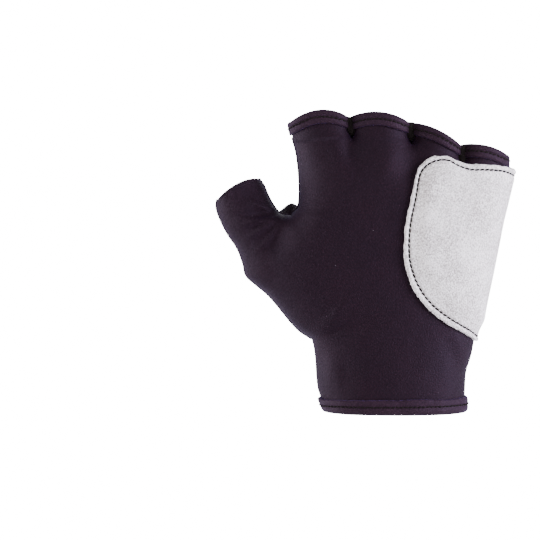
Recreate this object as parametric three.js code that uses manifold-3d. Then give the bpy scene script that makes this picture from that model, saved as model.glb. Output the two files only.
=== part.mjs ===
// A fingerless impact glove for the right hand, held open as a hand fills it.
// Two stretch-fabric panels are seamed round the outline of the hand, each finished with folded hems,
// and a padded suede piece is sewn over the palm and wraps round the little-finger side to the back.
// Millimetres, +Z up the fingers, -Y out of the back of the hand, +Y out of the palm, -X to the thumb.
// The origin is the middle of the wrist opening.
import * as THREE from "three";
import { mergeVertices } from "three/addons/utils/BufferGeometryUtils.js";
import Module from "manifold-3d";

const wasm = await Module();
wasm.setup();

// Overall sizes of the glove
const gloveLength = 140; // wrist edge to the height that the finger shares are taken of
const palmWidth = 98; // seam to seam across the knuckles
const wristWidth = 67; // seam to seam across the wrist
const palmDepth = 34; // back to palm where the hand is thickest
const wristDepth = 47; // back to front that the wrist would reach if it were wide
const fingerDepth = 22; // back to front that a finger opening would reach if it were wide

// Thumb sizes
const thumbRootHeight = 33.5; // where the outer side of the thumb leaves the wrist
const webHeight = 90.6; // bottom of the web between thumb and index finger
const webCorner = 3.4; // height over which the web rounds up into the index finger
const thumbReach = 45; // how far the thumb's outer corner stands out from its root
const thumbRise = 65; // how far that corner stands above the root
const thumbInnerReach = 14.6; // the same two for the thumb's inner side, from the web
const thumbInnerRise = 16.6;
const thumbTipBulge = 2.3; // rise of the thumb's end edge at its middle
const thumbLean = 7; // how far the thumb's end comes forward on the palm side

// Cloth, hems and seams
const clothWall = 1.2;
const gap = 0.3; // clearance between pieces that are sewn together
const hemLeaf = 1.1; // thickness of a folded hem over the cloth
const hemLip = 0.9; // thickness of the fold under the cloth's edge
const hemRound = 0.6; // share of the leaf and of the lip where the fold's corner is cut off
const wristHemHeight = 7;
const fingerHemHeight = 6.2;
const tackLength = 2.4; // how far the seam between two fingers reaches below their hems

// Form of the hand inside
const cup = 3.5; // how far the side seams sit towards the palm from the middle of the hand
const fingerLean = 2.5; // how far the finger edge leans towards the palm
const foldStart = 5.7; // soft folds fade out where the cloth is nearer the middle than this

// Suede pad
const suedeWall = 1.4;
const coreThickness = 2.6; // impact core under the suede, which shows as the raised middle
const padFlange = 3.2; // flat sewn margin round the core
const coreSlope = 8; // width of the core's rounded rim
const flangeLift = 2.6; // how far the margin's top stands up where it turns round the glove's side
const sideTurnWidth = 6.4; // half width of that turn, along the cloth
const padPalmReach = 94.5; // from the little-finger seam over the palm, along the cloth
const padBackReach = 51; // from the same seam over the back
const padBottomHeight = 32.5; // at the little-finger seam
const padHemGap = 0.7; // between the pad's top and the little finger's hem at that seam
const tackBridge = 3; // how far either side of a tack the pad stands off the cloth

// Mesh density
const cellsPerFinger = 6;
const thumbCells = 9;
const padSpineCells = 15;
const padEndCells = 20;

const bell = (t) => Math.exp(-t * t / 2);
const clamp01 = (t) => Math.min(1, Math.max(0, t));
const lerp = (a, b, t) => a + (b - a) * t;
const ease = (t) => clamp01(t) ** 2 * (3 - 2 * clamp01(t));

// A smooth curve through the rows of a table, read at one key's value
function follow(rows, from, to, at) {
  const last = rows.length - 1;
  let i = 0;
  while (i < last - 1 && at > rows[i + 1][from]) i++;
  const slope = (k) => {
    const a = rows[Math.max(0, k - 1)];
    const b = rows[Math.min(last, k + 1)];
    return (b[to] - a[to]) / (b[from] - a[from]);
  };
  const span = rows[i + 1][from] - rows[i][from];
  const t = clamp01((at - rows[i][from]) / span);
  const rise = rows[i + 1][to] - rows[i][to];
  const bend = (slope(i) * span - rise) * (1 - t) - (slope(i + 1) * span - rise) * t;
  return rows[i][to] + rise * t + t * (1 - t) * bend;
}

// How far up the hand a height is: 0 at the wrist's edge, 1 at the thumb's root, 2 at the web and
// 3 at the glove's length
const landmarks = [0, thumbRootHeight, webHeight, gloveLength];
function stage(height) {
  const i = height < thumbRootHeight ? 0 : height < webHeight ? 1 : 2;
  return i + (height - landmarks[i]) / (landmarks[i + 1] - landmarks[i]);
}

// Side seams: spread runs from 0 at half the wrist's width to 1 at half the palm's width
const radialSide = [
  { stage: 0.0, spread: -0.16 },
  { stage: 0.21, spread: 0.045 },
  { stage: 0.33, spread: 0.125 },
  { stage: 0.5, spread: 0.165 },
  { stage: 0.7, spread: 0.19 },
  { stage: 0.88, spread: 0.235 },
  { stage: 1.0, spread: 0.3 },
  { stage: 2.0, spread: 0.91 },
  { stage: 2.065, spread: 0.72 },
  { stage: 2.15, spread: 0.67 },
  { stage: 2.26, spread: 0.66 },
  { stage: 2.4, spread: 0.68 },
  { stage: 2.575, spread: 0.75 },
  { stage: 2.72, spread: 0.87 },
  { stage: 2.89, spread: 0.96 },
];
const ulnarSide = [
  { stage: 0.0, spread: -0.09 },
  { stage: 0.21, spread: -0.065 },
  { stage: 0.44, spread: -0.045 },
  { stage: 0.57, spread: -0.02 },
  { stage: 0.66, spread: 0.05 },
  { stage: 0.78, spread: 0.13 },
  { stage: 0.92, spread: 0.19 },
  { stage: 1.1, spread: 0.26 },
  { stage: 1.27, spread: 0.36 },
  { stage: 1.57, spread: 0.59 },
  { stage: 1.86, spread: 0.8 },
  { stage: 2.21, spread: 1.04 },
  { stage: 2.43, spread: 1.18 },
  { stage: 2.55, spread: 1.17 },
];

// Finger openings from the index finger to the little one: each one's share of the top edge, the
// height of the seam or tack at its thumb side and the crest of its scallop as shares of the
// glove's length, and that tack's share of the length below the hems
const fingers = [
  { name: "index", across: 0.273, height: 0.953, crest: 0.032, tack: 1 },
  { name: "middle", across: 0.276, height: 0.968, crest: 0.026, tack: 1 },
  { name: "ring", across: 0.237, height: 0.951, crest: 0.017, tack: 1 },
  { name: "little", across: 0.214, height: 0.876, crest: 0.016, tack: 0.25 },
];
const littleEndShare = 0.846; // height of the seam past the little finger

// Sides of the thumb, as shares of its reach and rise
const thumbOuterSide = [
  { along: 0, reach: 0, rise: 0 },
  { along: 0.1, reach: 0.15, rise: 0.072 },
  { along: 0.35, reach: 0.43, rise: 0.3 },
  { along: 0.46, reach: 0.575, rise: 0.385 },
  { along: 0.555, reach: 0.673, rise: 0.45 },
  { along: 0.62, reach: 0.703, rise: 0.535 },
  { along: 0.7, reach: 0.765, rise: 0.645 },
  { along: 0.78, reach: 0.85, rise: 0.73 },
  { along: 0.9, reach: 0.95, rise: 0.865 },
  { along: 0.96, reach: 0.98, rise: 0.94 },
  { along: 1, reach: 0.968, rise: 0.985 },
];
const thumbInnerSide = [
  { along: 0, reach: 0, rise: 0 },
  { along: 0.22, reach: 0.33, rise: 0.04 },
  { along: 0.41, reach: 0.54, rise: 0.25 },
  { along: 0.63, reach: 0.72, rise: 0.53 },
  { along: 0.83, reach: 0.85, rise: 0.8 },
  { along: 1, reach: 1, rise: 1 },
];

// Half thickness that each height of the hand would reach if it were wide: grip is 0 for the wrist's
// depth, 1 for the palm's and 2 for the finger openings'
const handDepth = [
  { stage: 0.0, grip: 0 },
  { stage: 0.5, grip: 0.1 },
  { stage: 1.0, grip: 0.72 },
  { stage: 1.4, grip: 1 },
  { stage: 2.26, grip: 1 },
  { stage: 2.6, grip: 1.35 },
  { stage: 3.0, grip: 2 },
];
const thumbFullness = 0.96; // the thumb's depth as a share of the palm's

// Soft folds in the cloth: where each starts and ends, as shares of palm width and glove length,
// its width and its height outwards, as shares of the palm's width
const foldTail = 0.58; // how gently a fold runs out towards its ends, as a share of half its length
const folds = [
  { face: "palm", x0: 0.28, z0: 0.11, x1: 0.1, z1: 0.23, width: 0.055, height: 0.014 },
  { face: "palm", x0: 0.33, z0: 0.14, x1: 0.2, z1: 0.235, width: 0.04, height: -0.012 },
  { face: "palm", x0: -0.1, z0: 0.09, x1: -0.3, z1: 0.22, width: 0.06, height: 0.012 },
  { face: "back", x0: -0.52, z0: 0.62, x1: -0.62, z1: 0.5, width: 0.05, height: -0.03 },
  { face: "back", x0: -0.6, z0: 0.7, x1: -0.72, z1: 0.62, width: 0.035, height: -0.012 },
  { face: "back", x0: -0.3, z0: 0.24, x1: -0.12, z1: 0.32, width: 0.06, height: -0.012 },
  { face: "back", x0: -0.3, z0: 0.08, x1: -0.32, z1: 0.2, width: 0.05, height: 0.012 },
];

// Height of the finger edge across the hand
const tacks = [{ across: 0, height: fingers[0].height, length: fingers[0].tack }];
for (const [i, finger] of fingers.entries()) {
  const next = fingers[i + 1] ?? { height: littleEndShare, tack: finger.tack };
  tacks.push({ across: tacks[i].across + finger.across, height: next.height, length: next.tack });
}
const knuckleHeight = (across) => gloveLength * follow(tacks, "across", "height", across);
const tackDrop = (across) => fingerHemHeight + tackLength * follow(tacks, "across", "length", across);
function scallop(across) {
  const i = tacks.findIndex((tack, k) => k < fingers.length && across <= tacks[k + 1].across + 1e-9);
  const t = (across - tacks[i].across) / fingers[i].across;
  const chord = gloveLength * lerp(tacks[i].height, tacks[i + 1].height, t);
  return chord + gloveLength * fingers[i].crest * 4 * t * (1 - t);
}

const halfWidth = (side, height) =>
  lerp(wristWidth, palmWidth, follow(side, "stage", "spread", stage(height))) / 2;

// Height lines across the hand, with the number of cells up to the next one
const edgeFold = hemLip + gap; // the cloth's edge sits this far inside a hem
const rowTilt = 0.05 * gloveLength; // the lines follow the slant of the knuckles
const lines = [
  { cells: 1, height: () => edgeFold },
  { cells: 3, height: () => wristHemHeight },
  { cells: 9, height: () => thumbRootHeight },
  { cells: 1, height: (across) => webHeight - rowTilt * across },
  { cells: 4, height: (across) => webHeight + webCorner - rowTilt * across },
  { cells: 1, height: (across) => knuckleHeight(across) - tackDrop(across) },
  { cells: 1, height: (across) => scallop(across) - fingerHemHeight },
  { cells: 0, height: (across) => scallop(across) - edgeFold },
];
const lineRow = []; // the grid row that each line falls on
const rowHeights = [];
for (const [i, line] of lines.entries()) {
  lineRow.push(rowHeights.length);
  for (let k = 0; k < Math.max(1, line.cells); k++) {
    const next = lines[Math.min(i + 1, lines.length - 1)];
    const share = line.cells ? k / line.cells : 0;
    rowHeights.push((across) => lerp(line.height(across), next.height(across), share));
  }
}
const [wristRow, wristHemRow, rootRow, webRow, , tackRow, fingerHemRow, topRow] = lineRow;

// Columns across the hand, closer together at the seams, with one on each tack and one beside it
const columns = [];
const hemColumns = []; // the first and last column that each finger's hem covers
const marginShare = (hemLeaf + 2 * gap) / palmWidth; // room for the hems between tack and finger
for (const [i, finger] of fingers.entries()) {
  columns.push(tacks[i].across);
  const start = tacks[i].across + (i > 0 ? marginShare : 0);
  const end = tacks[i + 1].across - (i < fingers.length - 1 ? marginShare : 0);
  if (i > 0) columns.push(start);
  hemColumns.push([columns.length - 1]);
  for (let k = 1; k < cellsPerFinger; k++)
    columns.push(lerp(start, end, (1 - Math.cos((Math.PI * k) / cellsPerFinger)) / 2));
  columns.push(end);
  hemColumns[i].push(columns.length - 1);
}
const tackColumns = hemColumns.slice(0, -1).map(([, last]) => last + 1);
const lastColumn = columns.length - 1;

// The flat outline of the glove as a net of points: the hand, then the thumb grown from its side
const points = [];
const cells = [];
function addPoint(x, z, depth, lean, seam) {
  points.push({ x, z, depth, lean, seam, links: [], area: 0, fill: 0 });
  return points.length - 1;
}
const gripDepth = (height) => {
  const grip = follow(handDepth, "stage", "grip", stage(height));
  return grip < 1 ? lerp(wristDepth, palmDepth, grip) / 2 : lerp(palmDepth, fingerDepth, grip - 1) / 2;
};
const hand = rowHeights.map((height, row) =>
  columns.map((across, column) => {
    const x = lerp(-halfWidth(radialSide, height(0)), halfWidth(ulnarSide, height(1)), across);
    const z = height(across);
    const side = (2 * across - 1) ** 2 * ease(z / webHeight);
    const lean = cup * side + fingerLean * ease((z - webHeight) / (gloveLength - webHeight));
    const openToThumb = column === 0 && row > rootRow && row < webRow;
    const seam = (column === 0 && !openToThumb) || column === lastColumn;
    return addPoint(x, z, gripDepth(z), lean, seam);
  }),
);
for (const column of tackColumns)
  for (let row = tackRow; row <= topRow; row++) points[hand[row][column]].tack = true;
for (let row = 0; row < topRow; row++)
  for (let column = 0; column < lastColumn; column++)
    cells.push([...hand[row].slice(column, column + 2), hand[row + 1][column + 1], hand[row + 1][column]]);

const rootPoint = points[hand[rootRow][0]];
const webPoint = points[hand[webRow][0]];
const acrossCells = webRow - rootRow;
const outerSide = (along) => [
  rootPoint.x - thumbReach * follow(thumbOuterSide, "along", "reach", along),
  rootPoint.z + thumbRise * follow(thumbOuterSide, "along", "rise", along),
];
const innerSide = (along) => [
  webPoint.x - thumbInnerReach * follow(thumbInnerSide, "along", "reach", along),
  webPoint.z + thumbInnerRise * follow(thumbInnerSide, "along", "rise", along),
];
function thumbEnd(across) {
  const [a, b] = [outerSide(1), innerSide(1)];
  const [dx, dz] = [b[0] - a[0], b[1] - a[1]];
  const bulge = (thumbTipBulge * 4 * across * (1 - across)) / Math.hypot(dx, dz);
  return [a[0] + dx * across - dz * bulge, a[1] + dz * across + dx * bulge];
}
// The thumb fills the space between its two sides, the hand and its end: thumb[i][j] counts i from
// the outer side to the web and j from the hand to the end
const thumb = [];
const thumbCorners = [[rootPoint.x, rootPoint.z], [webPoint.x, webPoint.z], thumbEnd(0), thumbEnd(1)];
for (let i = 0; i <= acrossCells; i++) {
  const joint = points[hand[rootRow + i][0]];
  const across = i / acrossCells;
  thumb.push([hand[rootRow + i][0]]);
  for (let j = 1; j <= thumbCells; j++) {
    const along = j / thumbCells;
    const [x, z] = [0, 1].map((axis) => {
      const [root, web, outerEnd, innerEnd] = thumbCorners.map((corner) => corner[axis]);
      const between = lerp(outerSide(along)[axis], innerSide(along)[axis], across);
      const outwards = lerp([joint.x, joint.z][axis], thumbEnd(across)[axis], along);
      return between + outwards - lerp(lerp(root, web, across), lerp(outerEnd, innerEnd, across), along);
    });
    const depth = lerp(joint.depth, (thumbFullness * palmDepth) / 2, along);
    const seam = i === 0 || i === acrossCells;
    thumb[i].push(addPoint(x, z, depth, joint.lean + thumbLean * along, seam));
  }
}
for (let i = 0; i < acrossCells; i++)
  for (let j = 0; j < thumbCells; j++)
    cells.push([thumb[i][j + 1], thumb[i][j], thumb[i + 1][j], thumb[i + 1][j + 1]]);

// The net is filled like a glove by a hand: each free point settles where the push from inside
// balances the pull of its neighbours, and no part swells past its own depth
function link(a, b, c) {
  const [p, q, r] = [points[a], points[b], points[c]];
  const dot = (p.x - r.x) * (q.x - r.x) + (p.z - r.z) * (q.z - r.z);
  const cross = Math.abs((p.x - r.x) * (q.z - r.z) - (p.z - r.z) * (q.x - r.x));
  p.links.push({ to: q, pull: dot / cross / 2 });
  q.links.push({ to: p, pull: dot / cross / 2 });
  r.area += cross / 6;
}
for (const [a, b, c, d] of cells)
  for (const [p, q, r] of [[a, b, c], [a, c, d]]) {
    link(p, q, r);
    link(q, r, p);
    link(r, p, q);
  }
const tackFill = (clothWall + gap / 2) ** 2 / 2;
for (const point of points) if (point.tack) point.fill = tackFill;
const sweeps = 400;
for (let sweep = 0; sweep < sweeps; sweep++)
  for (const point of points) {
    if (point.seam || point.tack) continue;
    let pull = point.area;
    let weight = (point.area * 2) / point.depth ** 2;
    for (const { to, pull: share } of point.links) {
      pull += share * to.fill;
      weight += share;
    }
    point.fill = pull / weight;
  }

// Height of the soft folds over a point of one face
function foldHeight(face, point) {
  let height = 0;
  for (const fold of folds) {
    if (fold.face !== face) continue;
    const [x0, z0] = [fold.x0 * palmWidth, fold.z0 * gloveLength];
    const [dx, dz] = [fold.x1 * palmWidth - x0, fold.z1 * gloveLength - z0];
    const along = ((point.x - x0) * dx + (point.z - z0) * dz) / (dx * dx + dz * dz);
    const off = ((point.x - x0) * dz - (point.z - z0) * dx) / Math.hypot(dx, dz);
    const lengthways = bell((2 * along - 1) / foldTail);
    height += fold.height * palmWidth * lengthways * bell((2 * off) / (fold.width * palmWidth));
  }
  return height;
}

// Outer surface of both faces, with normals that stay level along the seams
const faces = { palm: 1, back: -1 };
const skin = {};
for (const [face, sign] of Object.entries(faces))
  skin[face] = points.map((point) => {
    const swell = Math.sqrt(2 * point.fill);
    const soft = point.tack ? 0 : ease(swell / foldStart);
    const y = point.lean + sign * (swell + soft * foldHeight(face, point));
    return { at: new THREE.Vector3(point.x, y, point.z), normal: new THREE.Vector3() };
  });
for (const [face, sign] of Object.entries(faces))
  for (const [a, b, c, d] of cells)
    for (const [p, q, r] of [[a, b, c], [a, c, d]]) {
      const [P, Q, R] = [p, q, r].map((k) => skin[face][k].at);
      const area = Q.clone().sub(P).cross(R.clone().sub(P)).multiplyScalar(-sign);
      for (const k of [p, q, r]) {
        skin[face][k].normal.add(area);
        if (points[k].seam) skin[face === "palm" ? "back" : "palm"][k].normal.add(area);
      }
    }
for (const face of Object.keys(faces))
  for (const [k, vertex] of skin[face].entries()) {
    if (points[k].seam) vertex.normal.y = 0;
    vertex.normal.normalize();
  }

// A point of a face, raised off the skin by a distance, with the seam gap between the faces
function raised(face, k, height) {
  const { at, normal } = skin[face][k];
  const placed = at.clone().addScaledVector(normal, height);
  placed.y += (faces[face] * gap) / 2;
  return placed;
}

// A closed mesh from corner points and triangles
function meshOf(corners, triangles) {
  const geometry = new THREE.BufferGeometry();
  const apart = (a, b) => corners[a].distanceToSquared(corners[b]) > 0;
  const real = triangles.filter(([a, b, c]) => apart(a, b) && apart(b, c) && apart(c, a));
  const flat = real.flatMap((triangle) => triangle.flatMap((k) => corners[k].toArray()));
  geometry.setAttribute("position", new THREE.Float32BufferAttribute(flat, 3));
  return mergeVertices(geometry, 1e-4);
}
const quad = ([a, b, c, d]) => [[a, b, c], [a, c, d]];
const turned = (triangles) => triangles.map(([a, b, c]) => [a, c, b]);

// Edges of the net that belong to one cell only, each in its cell's direction
const borderEdges = [];
{
  const seen = new Map();
  for (const cell of cells)
    for (let k = 0; k < 4; k++) {
      const [a, b] = [cell[k], cell[(k + 1) % 4]];
      const key = Math.min(a, b) + "/" + Math.max(a, b);
      seen.set(key, seen.has(key) ? null : [a, b]);
    }
  for (const edge of seen.values()) if (edge) borderEdges.push(edge);
}

// One face of the glove as a wall of cloth
function panel(face) {
  const count = points.length;
  const corners = [
    ...points.map((_, k) => raised(face, k, 0)),
    ...points.map((_, k) => raised(face, k, -clothWall)),
  ];
  const outer = cells.flatMap(quad);
  const inner = turned(outer).map((triangle) => triangle.map((k) => k + count));
  const rim = borderEdges.flatMap(([a, b]) => quad([b, a, a + count, b + count]));
  const all = [...outer, ...inner, ...rim];
  return meshOf(corners, face === "back" ? all : turned(all));
}

// A folded hem: a band over the cloth from its edge, with a lip turned under the edge. Each station
// holds the net points from the edge inwards.
function hem(stations, closed) {
  const corners = [];
  for (const { face, net } of stations) {
    const edge = skin[face][net[0]];
    const out = edge.at.clone().sub(skin[face][net[1]].at).normalize();
    out.addScaledVector(edge.normal, -out.dot(edge.normal)).normalize();
    const past = (height, distance) => raised(face, net[0], height).addScaledVector(out, distance);
    corners.push(
      ...net.map((k) => raised(face, k, gap)).reverse(),
      past(gap, gap),
      past(-clothWall, gap),
      past(-clothWall, edgeFold),
      past(gap + hemLeaf * hemRound, edgeFold),
      past(gap + hemLeaf, edgeFold * hemRound),
      ...net.map((k) => raised(face, k, gap + hemLeaf)),
    );
  }
  const around = corners.length / stations.length;
  const triangles = [];
  const spans = closed ? stations.length : stations.length - 1;
  for (let s = 0; s < spans; s++) {
    const [here, there] = [s * around, ((s + 1) % stations.length) * around];
    for (let k = 0; k < around; k++) {
      const next = (k + 1) % around;
      triangles.push(...quad([here + k, there + k, there + next, here + next]));
    }
  }
  if (!closed) {
    const outline = corners.slice(0, around);
    const flat = flatten(outline);
    const lid = THREE.ShapeUtils.triangulateShape(flat, []);
    const end = (stations.length - 1) * around;
    const lidTurn = THREE.ShapeUtils.area(flat) > 0 ? lid : turned(lid);
    triangles.push(...lidTurn, ...turned(lidTurn).map((triangle) => triangle.map((k) => k + end)));
  }
  return outward(meshOf(corners, triangles));
}

// Corner points of a flat outline in two axes of its own plane
function flatten(outline) {
  const normal = new THREE.Vector3();
  for (const [k, corner] of outline.entries())
    normal.add(corner.clone().cross(outline[(k + 1) % outline.length]));
  normal.normalize();
  const along = outline[1].clone().sub(outline[0]).normalize();
  const up = normal.clone().cross(along);
  return outline.map((corner) => new THREE.Vector2(corner.dot(along), corner.dot(up)));
}

function solidOf(geometry) {
  return new wasm.Manifold(
    new wasm.Mesh({
      numProp: 3,
      vertProperties: geometry.attributes.position.array,
      triVerts: new Uint32Array(geometry.index.array),
    }),
  );
}
function geometryOf(solid) {
  const mesh = solid.getMesh();
  const geometry = new THREE.BufferGeometry();
  geometry.setAttribute("position", new THREE.Float32BufferAttribute(mesh.vertProperties, 3));
  geometry.setIndex(Array.from(mesh.triVerts));
  return geometry;
}
// Turns a closed mesh so that its faces point out
function outward(geometry) {
  const index = geometry.index.array;
  const [a, b, c] = [new THREE.Vector3(), new THREE.Vector3(), new THREE.Vector3()];
  let volume = 0;
  for (let k = 0; k < index.length; k += 3) {
    a.fromBufferAttribute(geometry.attributes.position, index[k]);
    b.fromBufferAttribute(geometry.attributes.position, index[k + 1]);
    c.fromBufferAttribute(geometry.attributes.position, index[k + 2]);
    volume += a.dot(b.cross(c));
  }
  if (volume < 0) index.reverse();
  return geometry;
}

// Whole numbers from one to another, either way
function steps(from, to) {
  return Array.from({ length: Math.abs(to - from) + 1 }, (_, k) => from + Math.sign(to - from) * k);
}
function strip(face, fromRow, toRow, fromColumn, toColumn) {
  const netAt = (column) => steps(fromRow, toRow).map((row) => hand[row][column]);
  return steps(fromColumn, toColumn).map((column) => ({ face, net: netAt(column) }));
}
const wristStations = [
  ...strip("palm", wristRow, wristHemRow, 0, lastColumn),
  ...strip("back", wristRow, wristHemRow, lastColumn, 0),
];
// The outer fingers' hems turn round the side seam, the inner ones are a strip on each face
const fingerStations = new Map();
for (const [i, { name }] of fingers.entries()) {
  const [from, to] = hemColumns[i];
  const edge = (face, first, last) => strip(face, topRow, fingerHemRow, first, last);
  if (i === 0) {
    fingerStations.set(`hem_${name}`, [...edge("palm", to, from), ...edge("back", from, to)]);
  } else if (i === fingers.length - 1) {
    fingerStations.set(`hem_${name}`, [...edge("palm", from, to), ...edge("back", to, from)]);
  } else {
    fingerStations.set(`hem_${name}_back`, edge("back", from, to));
    fingerStations.set(`hem_${name}_palm`, edge("palm", from, to));
  }
}

// The pad bridges the dips beside the tacks, so it follows only the columns clear of them
const padColumns = steps(lastColumn, 0).filter((column) =>
  tacks.slice(1, -1).every((tack) => Math.abs(tack.across - columns[column]) * palmWidth > tackBridge),
);
// Where a place on the pad's flat pattern lies on the filled glove: around is the length along the
// cloth from the little-finger seam, towards the palm if positive, and up is its height
function onHand(around, up) {
  const face = around < 0 ? "back" : "palm";
  const level = padColumns.map((column) => {
    const spots = hand.map((row) => skin[face][row[column]]);
    let row = 0;
    while (row < topRow - 1 && spots[row + 1].at.z < up) row++;
    const share = clamp01((up - spots[row].at.z) / (spots[row + 1].at.z - spots[row].at.z));
    return {
      at: spots[row].at.clone().lerp(spots[row + 1].at, share),
      normal: spots[row].normal.clone().lerp(spots[row + 1].normal, share),
    };
  });
  let left = Math.abs(around);
  let i = 0;
  let length = level[0].at.distanceTo(level[1].at);
  while (left > length && i < level.length - 2) {
    left -= length;
    i++;
    length = level[i].at.distanceTo(level[i + 1].at);
  }
  const t = clamp01(left / length);
  const normal = level[i].normal.lerp(level[i + 1].normal, t).normalize();
  return { at: level[i].at.lerp(level[i + 1].at, t), normal };
}

// Pad outline on its flat pattern, anticlockwise from its end on the palm: around is a share of the
// reach over the palm (positive) or the back (negative), and up runs from 0 at the bottom of the
// little-finger seam to 1 at its top
const padOutline = [
  { around: 0.997, up: 0.61 },
  { around: 0.99, up: 0.78 },
  { around: 0.972, up: 0.945 },
  { around: 0.935, up: 1.035 },
  { around: 0.885, up: 1.11 },
  { around: 0.81, up: 1.17 },
  { around: 0.7, up: 1.195 },
  { around: 0.545, up: 1.165 },
  { around: 0.418, up: 1.13 },
  { around: 0.33, up: 1.08 },
  { around: 0.24, up: 1.055 },
  { around: 0.13, up: 1.045 },
  { around: 0.0, up: 1.0 },
  { around: -0.2, up: 1.022 },
  { around: -0.36, up: 1.027 },
  { around: -0.5, up: 1.024 },
  { around: -0.62, up: 1.045 },
  { around: -0.74, up: 1.078 },
  { around: -0.865, up: 1.066 },
  { around: -0.966, up: 1.0 },
  { around: -0.992, up: 0.88 },
  { around: -1.007, up: 0.68 },
  { around: -0.98, up: 0.54 },
  { around: -0.93, up: 0.44 },
  { around: -0.823, up: 0.32 },
  { around: -0.65, up: 0.2 },
  { around: -0.45, up: 0.114 },
  { around: -0.2, up: 0.037 },
  { around: -0.07, up: 0.004 },
  { around: 0.05, up: 0.01 },
  { around: 0.22, up: 0.045 },
  { around: 0.52, up: 0.057 },
  { around: 0.71, up: 0.1 },
  { around: 0.84, up: 0.22 },
  { around: 0.94, up: 0.37 },
];
const patternReach = (around) => around * (around < 0 ? padBackReach : padPalmReach);
const littleHemBottom = littleEndShare * gloveLength - fingerHemHeight;
const padHeight = littleHemBottom - padHemGap - padBottomHeight;
const onPattern = ({ around, up }) =>
  new THREE.Vector3(patternReach(around), padBottomHeight + up * padHeight, 0);
const patternCurve = new THREE.CatmullRomCurve3(padOutline.map(onPattern), true);
// The pattern's middle line, and where a ray from one of its points meets the outline
const spine = { height: 0.52, backEnd: 0.45, palmEnd: 0.5 }; // as shares of the pad's height
const spineHeight = padBottomHeight + padHeight * spine.height;
const spineEnds = [-padBackReach + padHeight * spine.backEnd, padPalmReach - padHeight * spine.palmEnd];
const fineOutline = patternCurve.getPoints(padOutline.length * 18);
function outlineFrom(start, direction) {
  const side = (point) => (point.x - start.x) * direction.y - (point.y - start.y) * direction.x;
  for (const [k, a] of fineOutline.slice(0, -1).entries()) {
    const b = fineOutline[k + 1];
    const ahead = (a.x - start.x) * direction.x + (a.y - start.y) * direction.y > 0;
    if (ahead && side(a) * side(b) <= 0) return a.clone().lerp(b, side(a) / (side(a) - side(b)));
  }
}
// Rays all round the middle line: over its top, round one end, back along its foot, round the other
const rays = [];
for (const [from, to, turn] of [[1, 0, 1], [0, 1, -1]]) {
  for (let k = 0; k < padSpineCells; k++) {
    const x = lerp(spineEnds[from], spineEnds[to], k / padSpineCells);
    rays.push({ start: new THREE.Vector3(x, spineHeight, 0), angle: (turn * Math.PI) / 2 });
  }
  for (let k = 0; k < padEndCells; k++) {
    const start = new THREE.Vector3(spineEnds[to], spineHeight, 0);
    rays.push({ start, angle: (turn * Math.PI) / 2 + (Math.PI * k) / padEndCells });
  }
}
const padPoints = rays.length;
// Rings from the pad's edge in to its middle line: across the flange, up the core's rim, and then
// over the core to the middle
const flangeRings = [0, 0.5, 1];
const rimRings = [0.3, 0.65, 1];
const coreRings = [0.35, 0.7, 1];
const insets = flangeRings.map((share) => share * padFlange);
for (const share of rimRings) insets.push(padFlange + share * coreSlope);
const padPattern = [...insets, ...coreRings].map((inset, i) =>
  rays.map(({ start, angle }) => {
    const edge = outlineFrom(start, new THREE.Vector3(Math.cos(angle), Math.sin(angle), 0));
    const rim = insets[Math.min(i, insets.length - 1)] / edge.distanceTo(start);
    return edge.lerp(start, i < insets.length ? rim : lerp(rim, 1, inset));
  }),
);
const padThickness = (inset, { x: around, y: height }) => {
  const lift = flangeLift * bell(around / sideTurnWidth) * ease((height - padBottomHeight) / padHeight);
  return suedeWall + Math.max(lift, coreThickness * ease((inset - padFlange) / coreSlope));
};
const padSurface = (heightAt) =>
  padPattern.flatMap((ring, i) =>
    ring.map((flat) => {
      const { at, normal } = onHand(flat.x, flat.y);
      return at.addScaledVector(normal, heightAt(insets[i] ?? Infinity, flat));
    }),
  );

function suedePad() {
  const sunk = clothWall; // how far the rough blank reaches under the skin before it is cut
  const top = padSurface((inset, flat) => gap + padThickness(inset, flat));
  const bottom = padSurface(() => -sunk);
  const corners = [...top, ...bottom];
  const triangles = [];
  for (let ring = 0; ring < padPattern.length - 1; ring++)
    for (let k = 0; k < padPoints; k++) {
      const next = (k + 1) % padPoints;
      const [here, inside] = [ring * padPoints, (ring + 1) * padPoints];
      const cell = [here + k, here + next, inside + next, inside + k];
      triangles.push(...quad(cell), ...turned(quad(cell.map((c) => c + top.length))));
    }
  for (let k = 0; k < padPoints; k++) {
    const next = (k + 1) % padPoints;
    triangles.push(...quad([next, k, k + top.length, next + top.length]));
  }
  const blank = solidOf(outward(meshOf(corners, triangles)));
  return geometryOf(blank.subtract(solidOf(outward(filledHand()))));
}

// The whole glove as a filled solid, a gap larger than its cloth
function filledHand() {
  const corners = ["back", "palm"].flatMap((face) => points.map((_, k) => raised(face, k, gap)));
  const back = cells.flatMap(quad);
  const palm = turned(back).map((triangle) => triangle.map((k) => k + points.length));
  const sides = borderEdges.flatMap(([a, b]) => quad([b, a, a + points.length, b + points.length]));
  return meshOf(corners, [...back, ...palm, ...sides]);
}

const looks = {
  cloth: { color: 0x3a2f45, roughness: 0.78, metalness: 0 },
  hem: { color: 0x40344c, roughness: 0.75, metalness: 0 },
  suede: { color: 0xc9c6c4, roughness: 0.95, metalness: 0 },
};
function piece(name, geometry, look) {
  const mesh = new THREE.Mesh(geometry, new THREE.MeshStandardMaterial(looks[look]));
  mesh.name = name;
  return mesh;
}

const glove = new THREE.Group();
glove.add(
  piece("back_panel", panel("back"), "cloth"),
  piece("palm_panel", panel("palm"), "cloth"),
  piece("wrist_hem", hem(wristStations, true), "hem"),
);
for (const [name, stations] of fingerStations) glove.add(piece(name, hem(stations, false), "hem"));
glove.add(piece("suede_pad", suedePad(), "suede"));
export default glove;
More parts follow.
